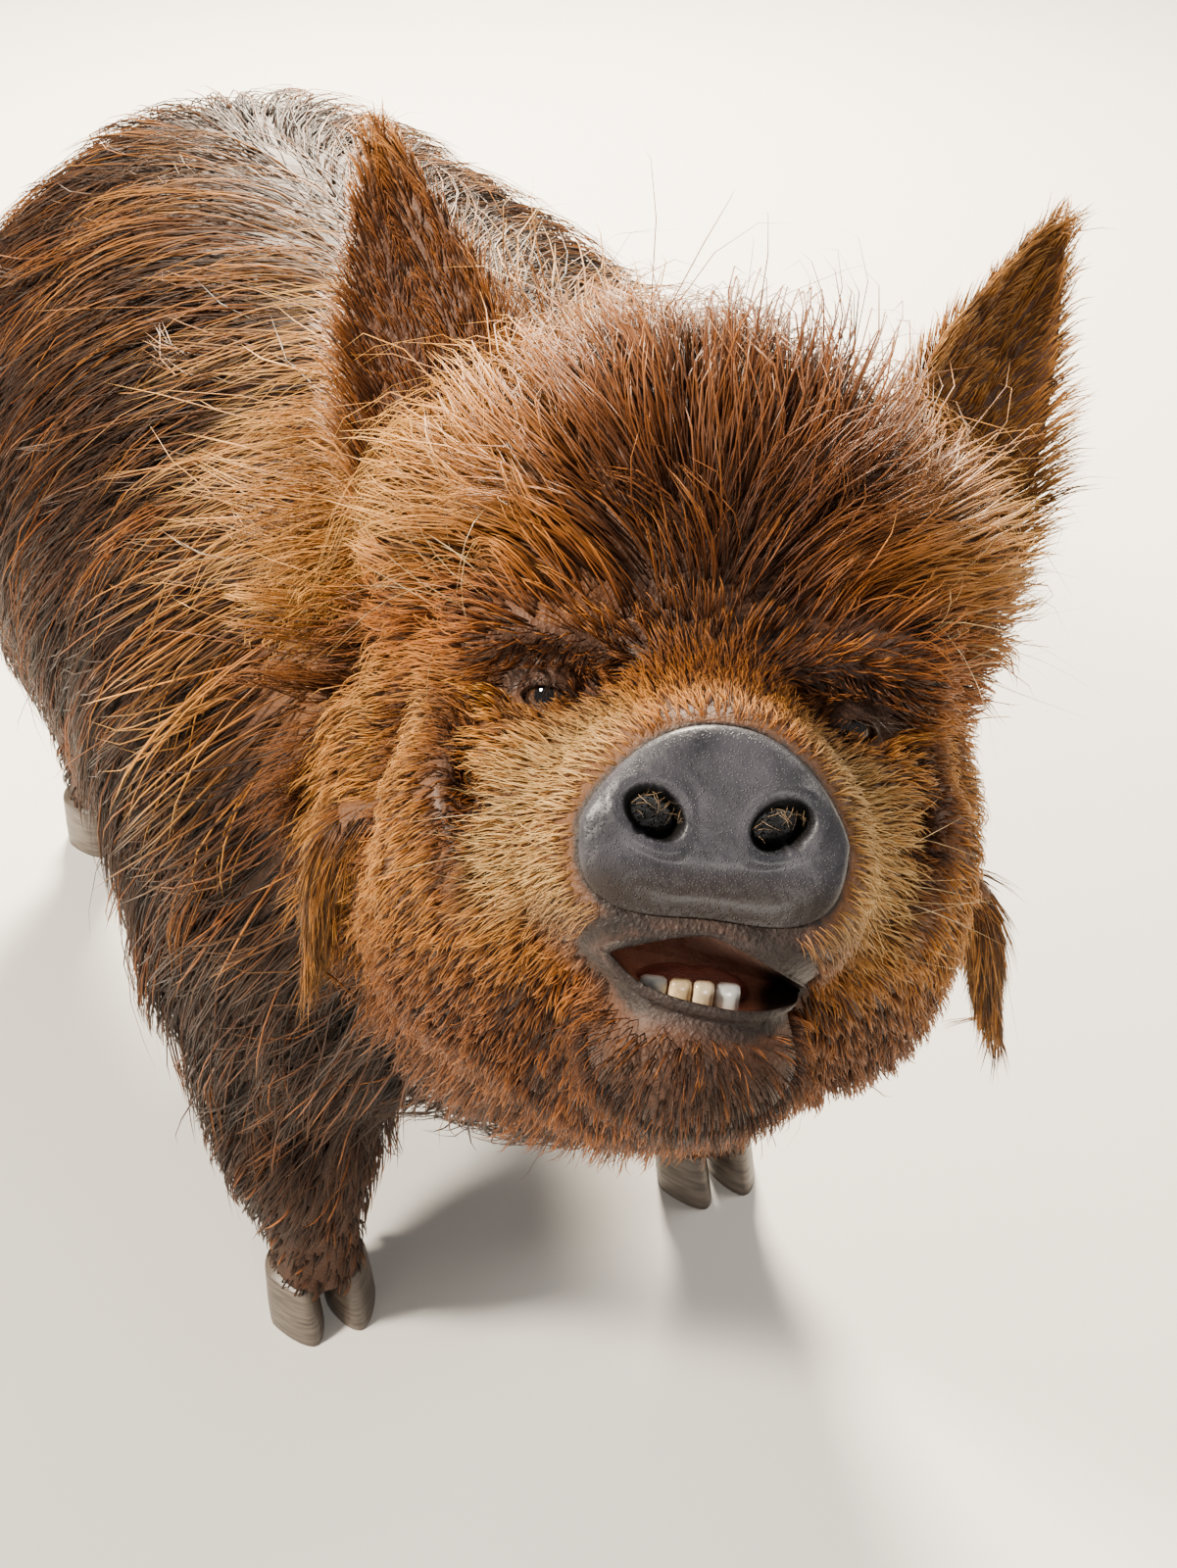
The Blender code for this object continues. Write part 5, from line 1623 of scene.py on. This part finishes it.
        # Lighter hairs are more golden, so the painted light on the coat's top hairs is golden too.
        gold = np.clip(hairs.masks[:, :1] + (tone - 0.5) * 0.5, 0, 1)
        store_colour(obj, "Tint", along, tone, gold, hairs.masks[:, 1:2])
        store_colour(obj, "Marking", *np.repeat(hairs.masks, per, axis=0).T)
        patch = columns(sideways - 0.5, along - 0.5) * self.patch
        store_map(obj, "OFBake", np.clip(hairs.uv[:, None] + patch, 0.0, 1.0).reshape(-1, 2), faces)
        strands = np.stack([sideways + tone * 61.0, along * 3.0 + tone * 17.0], axis=-1)
        store_map(obj, "Hair", strands.reshape(-1, 2), faces)
        return obj

    def blade(self, stations: int) -> Array:
        """Triangles of one blade: rings of three corners, closed at the root and drawn to one point."""
        last = 3 * (stations - 2)
        sides = band_triangles(stations - 1, 3)
        turned = [(a, c, b) for a, b, c in sides]
        point = [(last + k, last + 3, last + (k + 1) % 3) for k in range(3)]
        return np.array([(0, 1, 2)] + turned + point)

    def build(self) -> list[Object]:
        """Grows every region and splits it into pieces."""
        roots = self.scatter()
        finish = CoatFinish().material()
        pieces = []
        for region in Region:
            hairs = self.grow(roots, region)
            triangles = (GROWTHS[region].stations - 2) * 6 + 4
            parts = math.ceil(len(hairs.width) * triangles / PIECE_LIMIT)
            order = np.argsort(hairs.paths[:, 0, 1], kind="stable")
            for number, chosen in enumerate(np.array_split(order, parts)):
                name = f"coat_{region.name.lower()}_{number + 1}"
                piece = self.mesh(name, hairs.take(chosen))
                piece.data.materials.append(finish)
                pieces.append(piece)
                LOG.info("%s: %d hairs, %d triangles", name, len(chosen), len(piece.data.polygons))
        return pieces


@dataclass(frozen=True)
class Disc:
    """The rooting disc with its two nostrils."""

    half_width: float = 0.0485
    half_height: float = 0.0385
    nostril: tuple[float, float] = (0.0218, 0.0045)
    nostril_size: tuple[float, float] = (0.0116, 0.0098)
    around: int = 150
    rows: int = 60
    edge: tuple = ((0.0197, 0.93), (0.016, 0.965), (0.012, 0.99), (0.0085, 1.0), (0.0065, 0.994))

    def outline(self) -> Array:
        """Its rim as X and Z in the head's frame: arched above, drawn in towards the lip below."""
        turn = full_turn(self.around)
        c, s = np.cos(turn), np.sin(turn)
        low = np.clip(-s, 0, 1)
        wide = np.sign(c) * np.abs(c) ** (0.92 - 0.24 * low)
        x = self.half_width * wide * (1.0 - 0.17 * low**1.5)
        above = self.half_height * np.clip(1.0 - np.abs(wide) ** 2.2, 0, 1) ** 0.82
        below = -(0.0318 + 5.0 * (x - 0.004) ** 2 + 0.05 * x) * low**0.6
        return columns(x, np.where(s > 0, above, below))

    def ratio(self, local: Array) -> Array:
        """How far points of the head's frame are from the disc's middle, its rim being one."""
        return polar_ratio(self.outline(), local[:, [0, 2]])

    def build(self) -> Object:
        """The disc as one closed body, its face carved by height."""
        shape_x, shape_z = self.outline().T
        sections = [POSE.place(shape_x * size, y, shape_z * size) for y, size in self.edge]
        for row in range(self.rows):
            size = 0.965 * (1 - row / self.rows) ** 0.92
            x = shape_x * size
            z = shape_z * size
            sections.append(POSE.place(x, self.face(x, z, size), z))
        obj = rings("snout_disc_skin", np.array(sections))
        x, y, z = POSE.local(points_of(obj)).T
        # Painted shade: the nostrils turn near black towards the bottom of their pits.
        pit_shade = smooth_step(0.0004, 0.0032, self.pits(x, z)) * (y < 0.0196)
        store_colour(obj, "Disc", smooth_step(-0.008, -0.024, z), pit_shade, 0.0, 1.0)
        obj.data.materials.append(DiscFinish().material())
        return obj

    def pits(self, x: Array, z: Array) -> Array:
        """Depth of the nostrils under each point of the face."""
        return 0.0165 * smooth_step(1.0, 0.66, self.nostril_distance(x, z))

    def nostril_distance(self, x: Array, z: Array) -> Array:
        """Distance from the nearer nostril, in its own radii."""
        side = np.abs(x) - self.nostril[0]
        up = z - self.nostril[1] - 0.25 * side
        wide = self.nostril_size[0] * np.where(side > 0, 1.12, 0.92)
        return np.hypot(side / wide, up / self.nostril_size[1])

    def face(self, x: Array, z: Array, size: float) -> Array:
        """How far back the disc's face is at each point."""
        side = np.abs(x)
        above = 1 - 0.6 * smooth_step(-0.022, -0.036, z)
        rolled = 0.0042 * np.clip((size - 0.66) / 0.305, 0, 1) ** 2.4 * above
        rim = -0.0011 * bell(self.nostril_distance(x, z), 1.32, 0.24) * smooth_step(0.006, 0.014, side)
        crease = 0.0007 * bell(z + 0.014 - 8.0 * x * x, 0.0, 0.0035) * smooth_step(0.034, 0.022, side)
        hollow = 0.001 * (1 - size**2)
        lip = 0.0006 * smooth_step(-0.014, -0.034, z)
        return 0.0006 + rolled + rim + crease + hollow + lip + self.pits(x, z)


DISC = Disc()


@dataclass(frozen=True)
class Mouth:
    """Tongue and lower incisors."""

    tongue_size: Triple = (0.0225, 0.03, 0.0085)
    teeth: tuple = (  # middle, width and stain of each
        (-0.0185, 0.0104, 0.08),
        (-0.0088, 0.0084, 0.9),
        (-0.0004, 0.008, 0.75),
        (0.0088, 0.0092, 0.05),
    )
    profile: tuple = (  # height, size and step back of each ring of a tooth
        (-0.072, 1.0, 0.0045),
        (-0.066, 1.0, 0.003),
        (-0.0605, 1.0, 0.0012),
        (-0.0565, 1.0, 0.0),
        (-0.0543, 0.94, 0.0002),
        (-0.0532, 0.66, 0.0008),
    )

    def tongue(self) -> Object:
        """The tongue's tip, resting behind the teeth."""
        low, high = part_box("tongue")
        place = HEAD @ Matrix.Translation((FACE.mouth_place[0], 0.066, FACE.jaw_line + 0.001))
        obj = ball(place, self.tongue_size, 48, 24)
        obj.name = "tongue_tip"
        points = POSE.local(points_of(obj))
        groove = bell(points[:, 0], FACE.mouth_place[0], 0.003) * (points[:, 2] > FACE.jaw_line)
        points[:, 2] -= 0.0012 * groove
        obj.data.vertices.foreach_set("co", POSE.world(points).astype(np.float32).ravel())
        obj.data.materials.append(TongueFinish().material())
        LOG.info("tongue stands in a box %s to %s", tuple(low), tuple(high))
        return obj

    def incisors(self) -> Object:
        """Four worn teeth as one piece."""
        teeth = []
        stains = []
        turn = full_turn(24)
        c, s = np.cos(turn), np.sin(turn)
        for middle, width, stain in self.teeth:
            front = 0.0205 + 16.0 * (middle + 0.004) ** 2
            sections = []
            for z, size, push in self.profile:
                x = FACE.mouth_place[0] + middle + width / 2 * size * np.sign(c) * np.abs(c) ** 0.6
                y = front + push + 0.0031 * size * np.sign(s) * np.abs(s) ** 0.8
                sections.append(POSE.place(x, y, z))
            tooth = rings("tooth", np.array(sections))
            stains += [stain] * len(tooth.data.vertices)
            teeth.append(tooth)
        obj = join("incisors", teeth)
        low = smooth_step(-0.06, -0.064, POSE.local(points_of(obj))[:, 2])
        store_colour(obj, "Tooth", low, stains, 0.0, 1.0)
        obj.data.materials.append(ToothFinish().material())
        return obj


class Eye:
    """One eyeball behind its lids."""

    def build(self, side: str) -> Object:
        """The ball with the distance from its gaze stored."""
        matrix = FACE.eye_frame(SIDES[side])
        radius = FACE.eye_radius
        obj = ball(matrix @ Matrix.Rotation(math.radians(90), 4, "X"), (radius, radius, radius), 48, 32)
        obj.name = f"eyeball_{side}"
        points = moved(matrix.inverted(), points_of(obj))
        away = np.hypot(points[:, 0], points[:, 2]) / radius
        away = np.where(points[:, 1] < 0, away, 1.0)
        store_colour(obj, "Eye", away, away, away, 1.0)
        obj.data.materials.append(EyeFinish().material())
        return obj


@dataclass(frozen=True)
class Bristles:
    """Single stiff hairs that geometry nodes scatter over a patch."""

    given = {"Patch": "Geometry", "Density": "Float", "Length": "Float", "Spread": "Float", "Seed": "Int"}

    density: float
    length: float
    radius: float
    curl: float
    spread: float
    seed: int

    def hair(self) -> Object:
        """One hair of length one along +Z, curling towards +X."""
        share = np.linspace(0.0, 1.0, 7)
        path = columns(self.curl * share**2, 0.0, share - 0.4 * self.curl**2 * share**2)
        radii = self.radius / self.length * np.interp(share, [0, 0.3, 1.0], [1.0, 0.9, 0.08])
        return tube(path, radii, 4)

    def tree(self, hair: Object, material: Material) -> NodeTree:
        """Scatters the hair over the faces of a patch, each one leaning and scaled at random."""
        tree = bpy.data.node_groups.new("bristles", "GeometryNodeTree")
        for name, kind in self.given.items():
            tree.interface.new_socket(name, in_out="INPUT", socket_type=f"NodeSocket{kind}")
        tree.interface.new_socket("Bristles", in_out="OUTPUT", socket_type="NodeSocketGeometry")
        given = tree.nodes.new("NodeGroupInput").outputs
        seed = {"Seed": given["Seed"]}
        planted = {"Mesh": given["Patch"], "Density": given["Density"], **seed}
        points = add_node(tree, "GeometryNodeDistributePointsOnFaces", planted).outputs
        model = add_node(tree, "GeometryNodeObjectInfo", {"Object": hair}).outputs
        longest = given["Length"]
        shortest = add_node(tree, "ShaderNodeMath", {0: longest, 1: 0.55}, operation="MULTIPLY").outputs[0]
        size = add_node(tree, "FunctionNodeRandomValue", {2: shortest, 3: longest, **seed}).outputs[1]
        turns = {"X": given["Spread"], "Y": given["Spread"], "Z": math.pi}
        most = add_node(tree, "ShaderNodeCombineXYZ", turns).outputs[0]
        least = add_node(tree, "ShaderNodeVectorMath", {0: most, "Scale": -1.0}, operation="SCALE").outputs[0]
        leans = {0: least, 1: most, **seed}
        lean = add_node(tree, "FunctionNodeRandomValue", leans, data_type="FLOAT_VECTOR").outputs[0]
        placed = {key: points[key] for key in ("Points", "Rotation")}
        placed |= {"Instance": model["Geometry"], "Scale": size}
        hairs = add_node(tree, "GeometryNodeInstanceOnPoints", placed).outputs[0]
        for kind, inputs in (
            ("RotateInstances", {"Rotation": lean}),
            ("RealizeInstances", {}),
            ("SetMaterial", {"Material": material}),
        ):
            hairs = add_node(tree, f"GeometryNode{kind}", {0: hairs, **inputs}).outputs[0]
        add_node(tree, "NodeGroupOutput", {"Bristles": hairs})
        return tree

    def grow(self, name: str, patch: Object, material: Material) -> Object:
        """Replaces the patch by the bristles that grow on it.

        Args:
            name: of the finished object.
            patch: the faces to grow on, each hair standing along their normals.
            material: of the hairs.

        Returns:
            The bristles as one mesh.
        """
        hair = self.hair()
        tree = self.tree(hair, material)
        modifier = patch.modifiers.new("bristles", "NODES")
        modifier.node_group = tree
        for item in tree.interface.items_tree:
            if item.in_out == "INPUT" and item.name != "Patch":
                modifier[item.identifier] = getattr(self, item.name.lower())
        mesh = evaluated_mesh(patch)
        mesh.shade_smooth()
        for used in (patch, hair):
            bpy.data.objects.remove(used)
        LOG.info("%s: %d triangles", name, len(mesh.polygons))
        return linked(name, mesh)


@dataclass(frozen=True)
class Whiskers:
    """Lashes, nostril bristles and the long whiskers of muzzle and brow."""

    hide: Hide
    lashes: Bristles = Bristles(520000.0, 0.019, 0.00022, 0.35, 0.3, 3)
    nostril: Bristles = Bristles(170000.0, 0.011, 0.00015, 0.3, 0.5, 5)
    muzzle: Bristles = Bristles(9000.0, 0.06, 0.00026, 0.22, 0.35, 8)
    brow: Bristles = Bristles(9000.0, 0.08, 0.00028, 0.55, 0.6, 13)

    def sheet(self, first: Array, second: Array) -> Object:
        """A strip of faces between two rows of points in the world."""
        count = len(first)
        faces = [(k, k + 1, count + k + 1, count + k) for k in range(count - 1)]
        return new_object("patch", np.concatenate([first, second]), np.array(faces))

    def lid(self, sign: float) -> Object:
        """A strip along the edge of an upper lid, facing forwards and down."""
        x = np.linspace(-0.0105, 0.0105, 15)
        z = 0.004 * np.sqrt(np.clip(1 - (x / 0.012) ** 2, 0, 1)) + 0.0004
        shell = FACE.eye_radius + FACE.lid - 0.0004
        y = -np.sqrt(shell**2 - x**2 - z**2)
        lower = columns(x, y, z)
        upper = lower + np.array([0.0, -0.0012, 0.0022])
        frame_of_eye = FACE.eye_frame(sign)
        return self.sheet(moved(frame_of_eye, lower), moved(frame_of_eye, upper))

    def nostril_rim(self, sign: float) -> Object:
        """A strip inside the upper edge of a nostril, facing its middle and forwards."""
        turn = np.linspace(math.radians(-20), math.radians(200), 16)
        turn = turn if sign > 0 else turn[::-1]
        x = DISC.nostril[0] + DISC.nostril_size[0] * 0.86 * np.cos(turn)
        z = DISC.nostril[1] + DISC.nostril_size[1] * 0.86 * np.sin(turn) + 0.25 * (x - DISC.nostril[0])
        front = columns(sign * x, 0.003, z)
        inwards = -0.0022 * columns(sign * np.cos(turn), 0.0, np.sin(turn))
        back = front + np.array([0.0, 0.0016, 0.0]) + inwards
        return self.sheet(POSE.world(front), POSE.world(back))

    def patch(self, middle: Triple, size: tuple[float, float], sign: float) -> Object:
        """A square grid laid on the skin.

        Args:
            middle: its place in the head's frame, on the left.
            size: along Y and Z of that frame.
            sign: of the side it is for.

        Returns:
            The grid, facing outwards.
        """
        side = 7  # points along each side
        steps = np.linspace(-0.5, 0.5, side)
        u, v = np.meshgrid(steps, steps, indexing="ij")
        flat = columns(0.0, u.ravel() * size[0], v.ravel() * size[1])
        place = POSE.world((np.array(middle) + flat) * np.array([sign, 1.0, 1.0]))
        place = self.hide.lifted(self.hide.lifted(place, np.zeros(u.size)), np.full(u.size, -0.0005))
        corners = np.arange(u.size).reshape(side, side)
        faces = np.stack([corners[:-1, :-1], corners[1:, :-1], corners[1:, 1:], corners[:-1, 1:]], axis=-1)
        faces = faces.reshape(-1, 4)
        obj = new_object("patch", place, faces)
        outward = self.hide.outward(place)[u.size // 2]
        if np.array(obj.data.polygons[len(faces) // 2].normal) @ outward < 0:
            bpy.data.objects.remove(obj)
            obj = new_object("patch", place, faces[:, ::-1])
        return obj

    def build(self) -> list[Object]:
        """Every kind of bristle on both sides."""
        dark = BristleFinish("lash", (0.03, 0.014, 0.008)).material()
        pale = BristleFinish("whisker", (0.62, 0.4, 0.17)).material()
        dull = BristleFinish("nostril_hair", (0.26, 0.17, 0.09)).material()
        made = []
        for side, sign in SIDES.items():
            made.append(self.lashes.grow(f"lashes_{side}", self.lid(sign), dark))
            made.append(self.nostril.grow(f"nostril_hair_{side}", self.nostril_rim(sign), dull))
            muzzle = self.patch((0.06, 0.06, -0.014), (0.04, 0.036), sign)
            made.append(self.muzzle.grow(f"whiskers_{side}", muzzle, pale))
            brow = self.patch((0.084, 0.135, 0.105), (0.05, 0.06), sign)
            made.append(self.brow.grow(f"brow_hair_{side}", brow, pale))
        return made


@dataclass(frozen=True)
class Hooves:
    """Eight main claws, two to each foot."""

    half_width: float = 0.0168
    half_length: float = 0.026
    profile: tuple = (  # height, size and step back of each ring
        (0.0, 0.985, 0.0),
        (0.0012, 1.0, 0.0),
        (0.008, 0.99, 0.0015),
        (0.016, 0.97, 0.003),
        (0.028, 0.92, 0.0055),
        (0.0375, 0.875, 0.0076),
        (HOOF_HEIGHT - 0.0004, 0.84, 0.008),
    )

    def claw(self, name: str, place: Vector, sign: float) -> Object:
        """One claw, flat under its sole."""
        turn = full_turn(40)
        x = self.half_width * np.cos(turn)
        y = self.half_length * np.sin(turn)
        front = y < 0
        x = np.where(front, x * (1 + y * 12) - sign * y * 0.12, x)
        y = np.where(front, y * 1.12, y)
        sections = []
        for z, size, back in self.profile:
            sections.append(columns(place.x + x * size, place.y + y * size + back, z))
        return rings(name, np.array(sections))

    def build(self) -> list[tuple[Object, str]]:
        """All claws with the nodes they stand for."""
        horn = HornFinish().material()
        made = []
        for end, y in FEET.items():
            for side, sign in SIDES.items():
                for row, step in (("inner", -sign), ("outer", sign)):
                    place = Vector((sign * FLESH.spread + step * CLAW_SPREAD, y - 0.004, 0.0))
                    claw = self.claw(f"claw_{end}_{side}_{row}", place, -step)
                    claw.data.materials.append(horn)
                    made.append((claw, f"hoof_{end}_{side}_{row}"))
        return made


@dataclass(frozen=True)
class Shot:
    """The camera at the photograph's viewing angle, and the studio round the pig."""

    azimuth: float = 24.5
    elevation: float = 36.5
    distance: float = 0.75
    pixels: float = 2898.0  # focal length for each metre of distance, in pixels
    width: float = 1201.0
    height: float = 1600.0
    centre: tuple[float, float] = (733.0, 850.0)

    def camera(self, shift: Vector) -> None:
        """Places the camera in front of and above the head."""
        a = math.radians(self.azimuth)
        e = math.radians(self.elevation)
        focal = self.distance * self.pixels
        ahead = Vector((math.sin(a) * math.cos(e), math.cos(a) * math.cos(e), -math.sin(e)))
        right = Vector((math.cos(a), -math.sin(a), 0.0))
        up = right.cross(ahead)
        across = (self.centre[0] - self.width / 2) / focal
        rise = (self.height / 2 - self.centre[1]) / focal
        spot = Vector(POSE.disc) + shift - self.distance * (ahead + right * across + up * rise)
        data = bpy.data.cameras.new("camera")
        data.sensor_fit = "VERTICAL"
        data.sensor_height = 36.0
        data.lens = 36.0 * focal / self.height
        camera = linked("camera", data)
        camera.matrix_world = Matrix.Translation(spot) @ Matrix((right, up, -ahead)).transposed().to_4x4()
        bpy.context.scene.camera = camera

    def light(self, name: str, place: tuple, aim: tuple, size: float, power: float, colour: tuple) -> None:
        """One soft lamp."""
        data = bpy.data.lights.new(name, "AREA")
        data.size = size
        data.energy = power
        data.color = colour
        lamp = linked(name, data)
        lamp.location = place
        lamp.rotation_mode = "QUATERNION"
        lamp.rotation_quaternion = (Vector(aim) - Vector(place)).to_track_quat("-Z", "Y")

    def studio(self) -> None:
        """A pale floor, a pale sky and soft lamps."""
        corners = np.array([(-6, -6, 0), (6, -6, 0), (6, 6, 0), (-6, 6, 0)], dtype=float)
        floor = new_object("studio_floor", corners, np.array([(0, 1, 2, 3)]))
        paint = Paint("pale_floor").set(base_color=(0.62, 0.6, 0.57, 1.0), roughness=0.9)
        floor.data.materials.append(paint.material)
        world = bpy.data.worlds.new("studio")
        world.use_nodes = True
        sky = world.node_tree.nodes["Background"].inputs
        sky["Color"].default_value = (0.95, 0.95, 0.96, 1.0)
        sky["Strength"].default_value = 0.21
        bpy.context.scene.world = world
        aim = (0.0, -0.2, 0.5)
        self.light("key", (-1.75, 0.0, 2.15), aim, 0.35, 205.0, (1.0, 0.9, 0.74))
        self.light("glare", (0.9, 2.5, 2.1), aim, 0.7, 850.0, (1.0, 0.88, 0.7))
        self.light("front", (-2.0, -1.6, 0.7), aim, 1.0, 10.0, (1.0, 0.9, 0.76))
        self.light("side", (1.9, -0.3, 2.0), aim, 1.0, 42.0, (1.0, 0.94, 0.84))
        self.light("mouth", (-0.35, -1.7, 0.95), aim, 0.3, 10.0, (1.0, 0.95, 0.88))


def settle(obj: Object, shift: Vector, nodes: tuple[str, ...] = ()) -> None:
    """Slides a piece to where the solids stand, and hands it to the frame.

    Args:
        obj: the piece.
        shift: how far the solids were slid.
        nodes: that it takes the place of.
    """
    obj.data.transform(Matrix.Translation(shift))
    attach(obj, "root")
    if nodes:
        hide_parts(*nodes)


def find_shift() -> Vector:
    """How far the solids were slid along the floor, from the left eye's place."""
    low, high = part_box("eye_left")
    place = HEAD @ mirrored(FACE.eye_place, 1.0)
    middle = (low + high) / 2
    return Vector((middle.x - place.x, middle.y - place.y, 0.0))


def main() -> None:
    """Builds the pig, its studio and the camera."""
    logging.basicConfig(level=logging.INFO, format="%(message)s")
    shift = find_shift()
    hide = Hide()
    LOG.info("hide measured")
    maker = Skin(hide)
    skin = maker.build()
    LOG.info("skin: %d triangles", len(skin.data.polygons))
    maker.unwrap(skin)
    maker.dress(skin)
    LOG.info("skin dressed")
    coat = Coat(hide, skin).build()
    settle(skin, shift, tuple(maker.nodes.split()))
    for piece in coat:
        settle(piece, shift)
    mouth = Mouth()
    settle(DISC.build(), shift, ("snout_disc",))
    settle(mouth.tongue(), shift, ("tongue",))
    settle(mouth.incisors(), shift)
    for side in SIDES:
        settle(Eye().build(side), shift, (f"eye_{side}",))
    for bristles in Whiskers(hide).build():
        settle(bristles, shift)
    for claw, node in Hooves().build():
        settle(claw, shift, (node,))
    shot = Shot()
    shot.camera(shift)
    shot.studio()


if __name__ == "__main__":
    main()
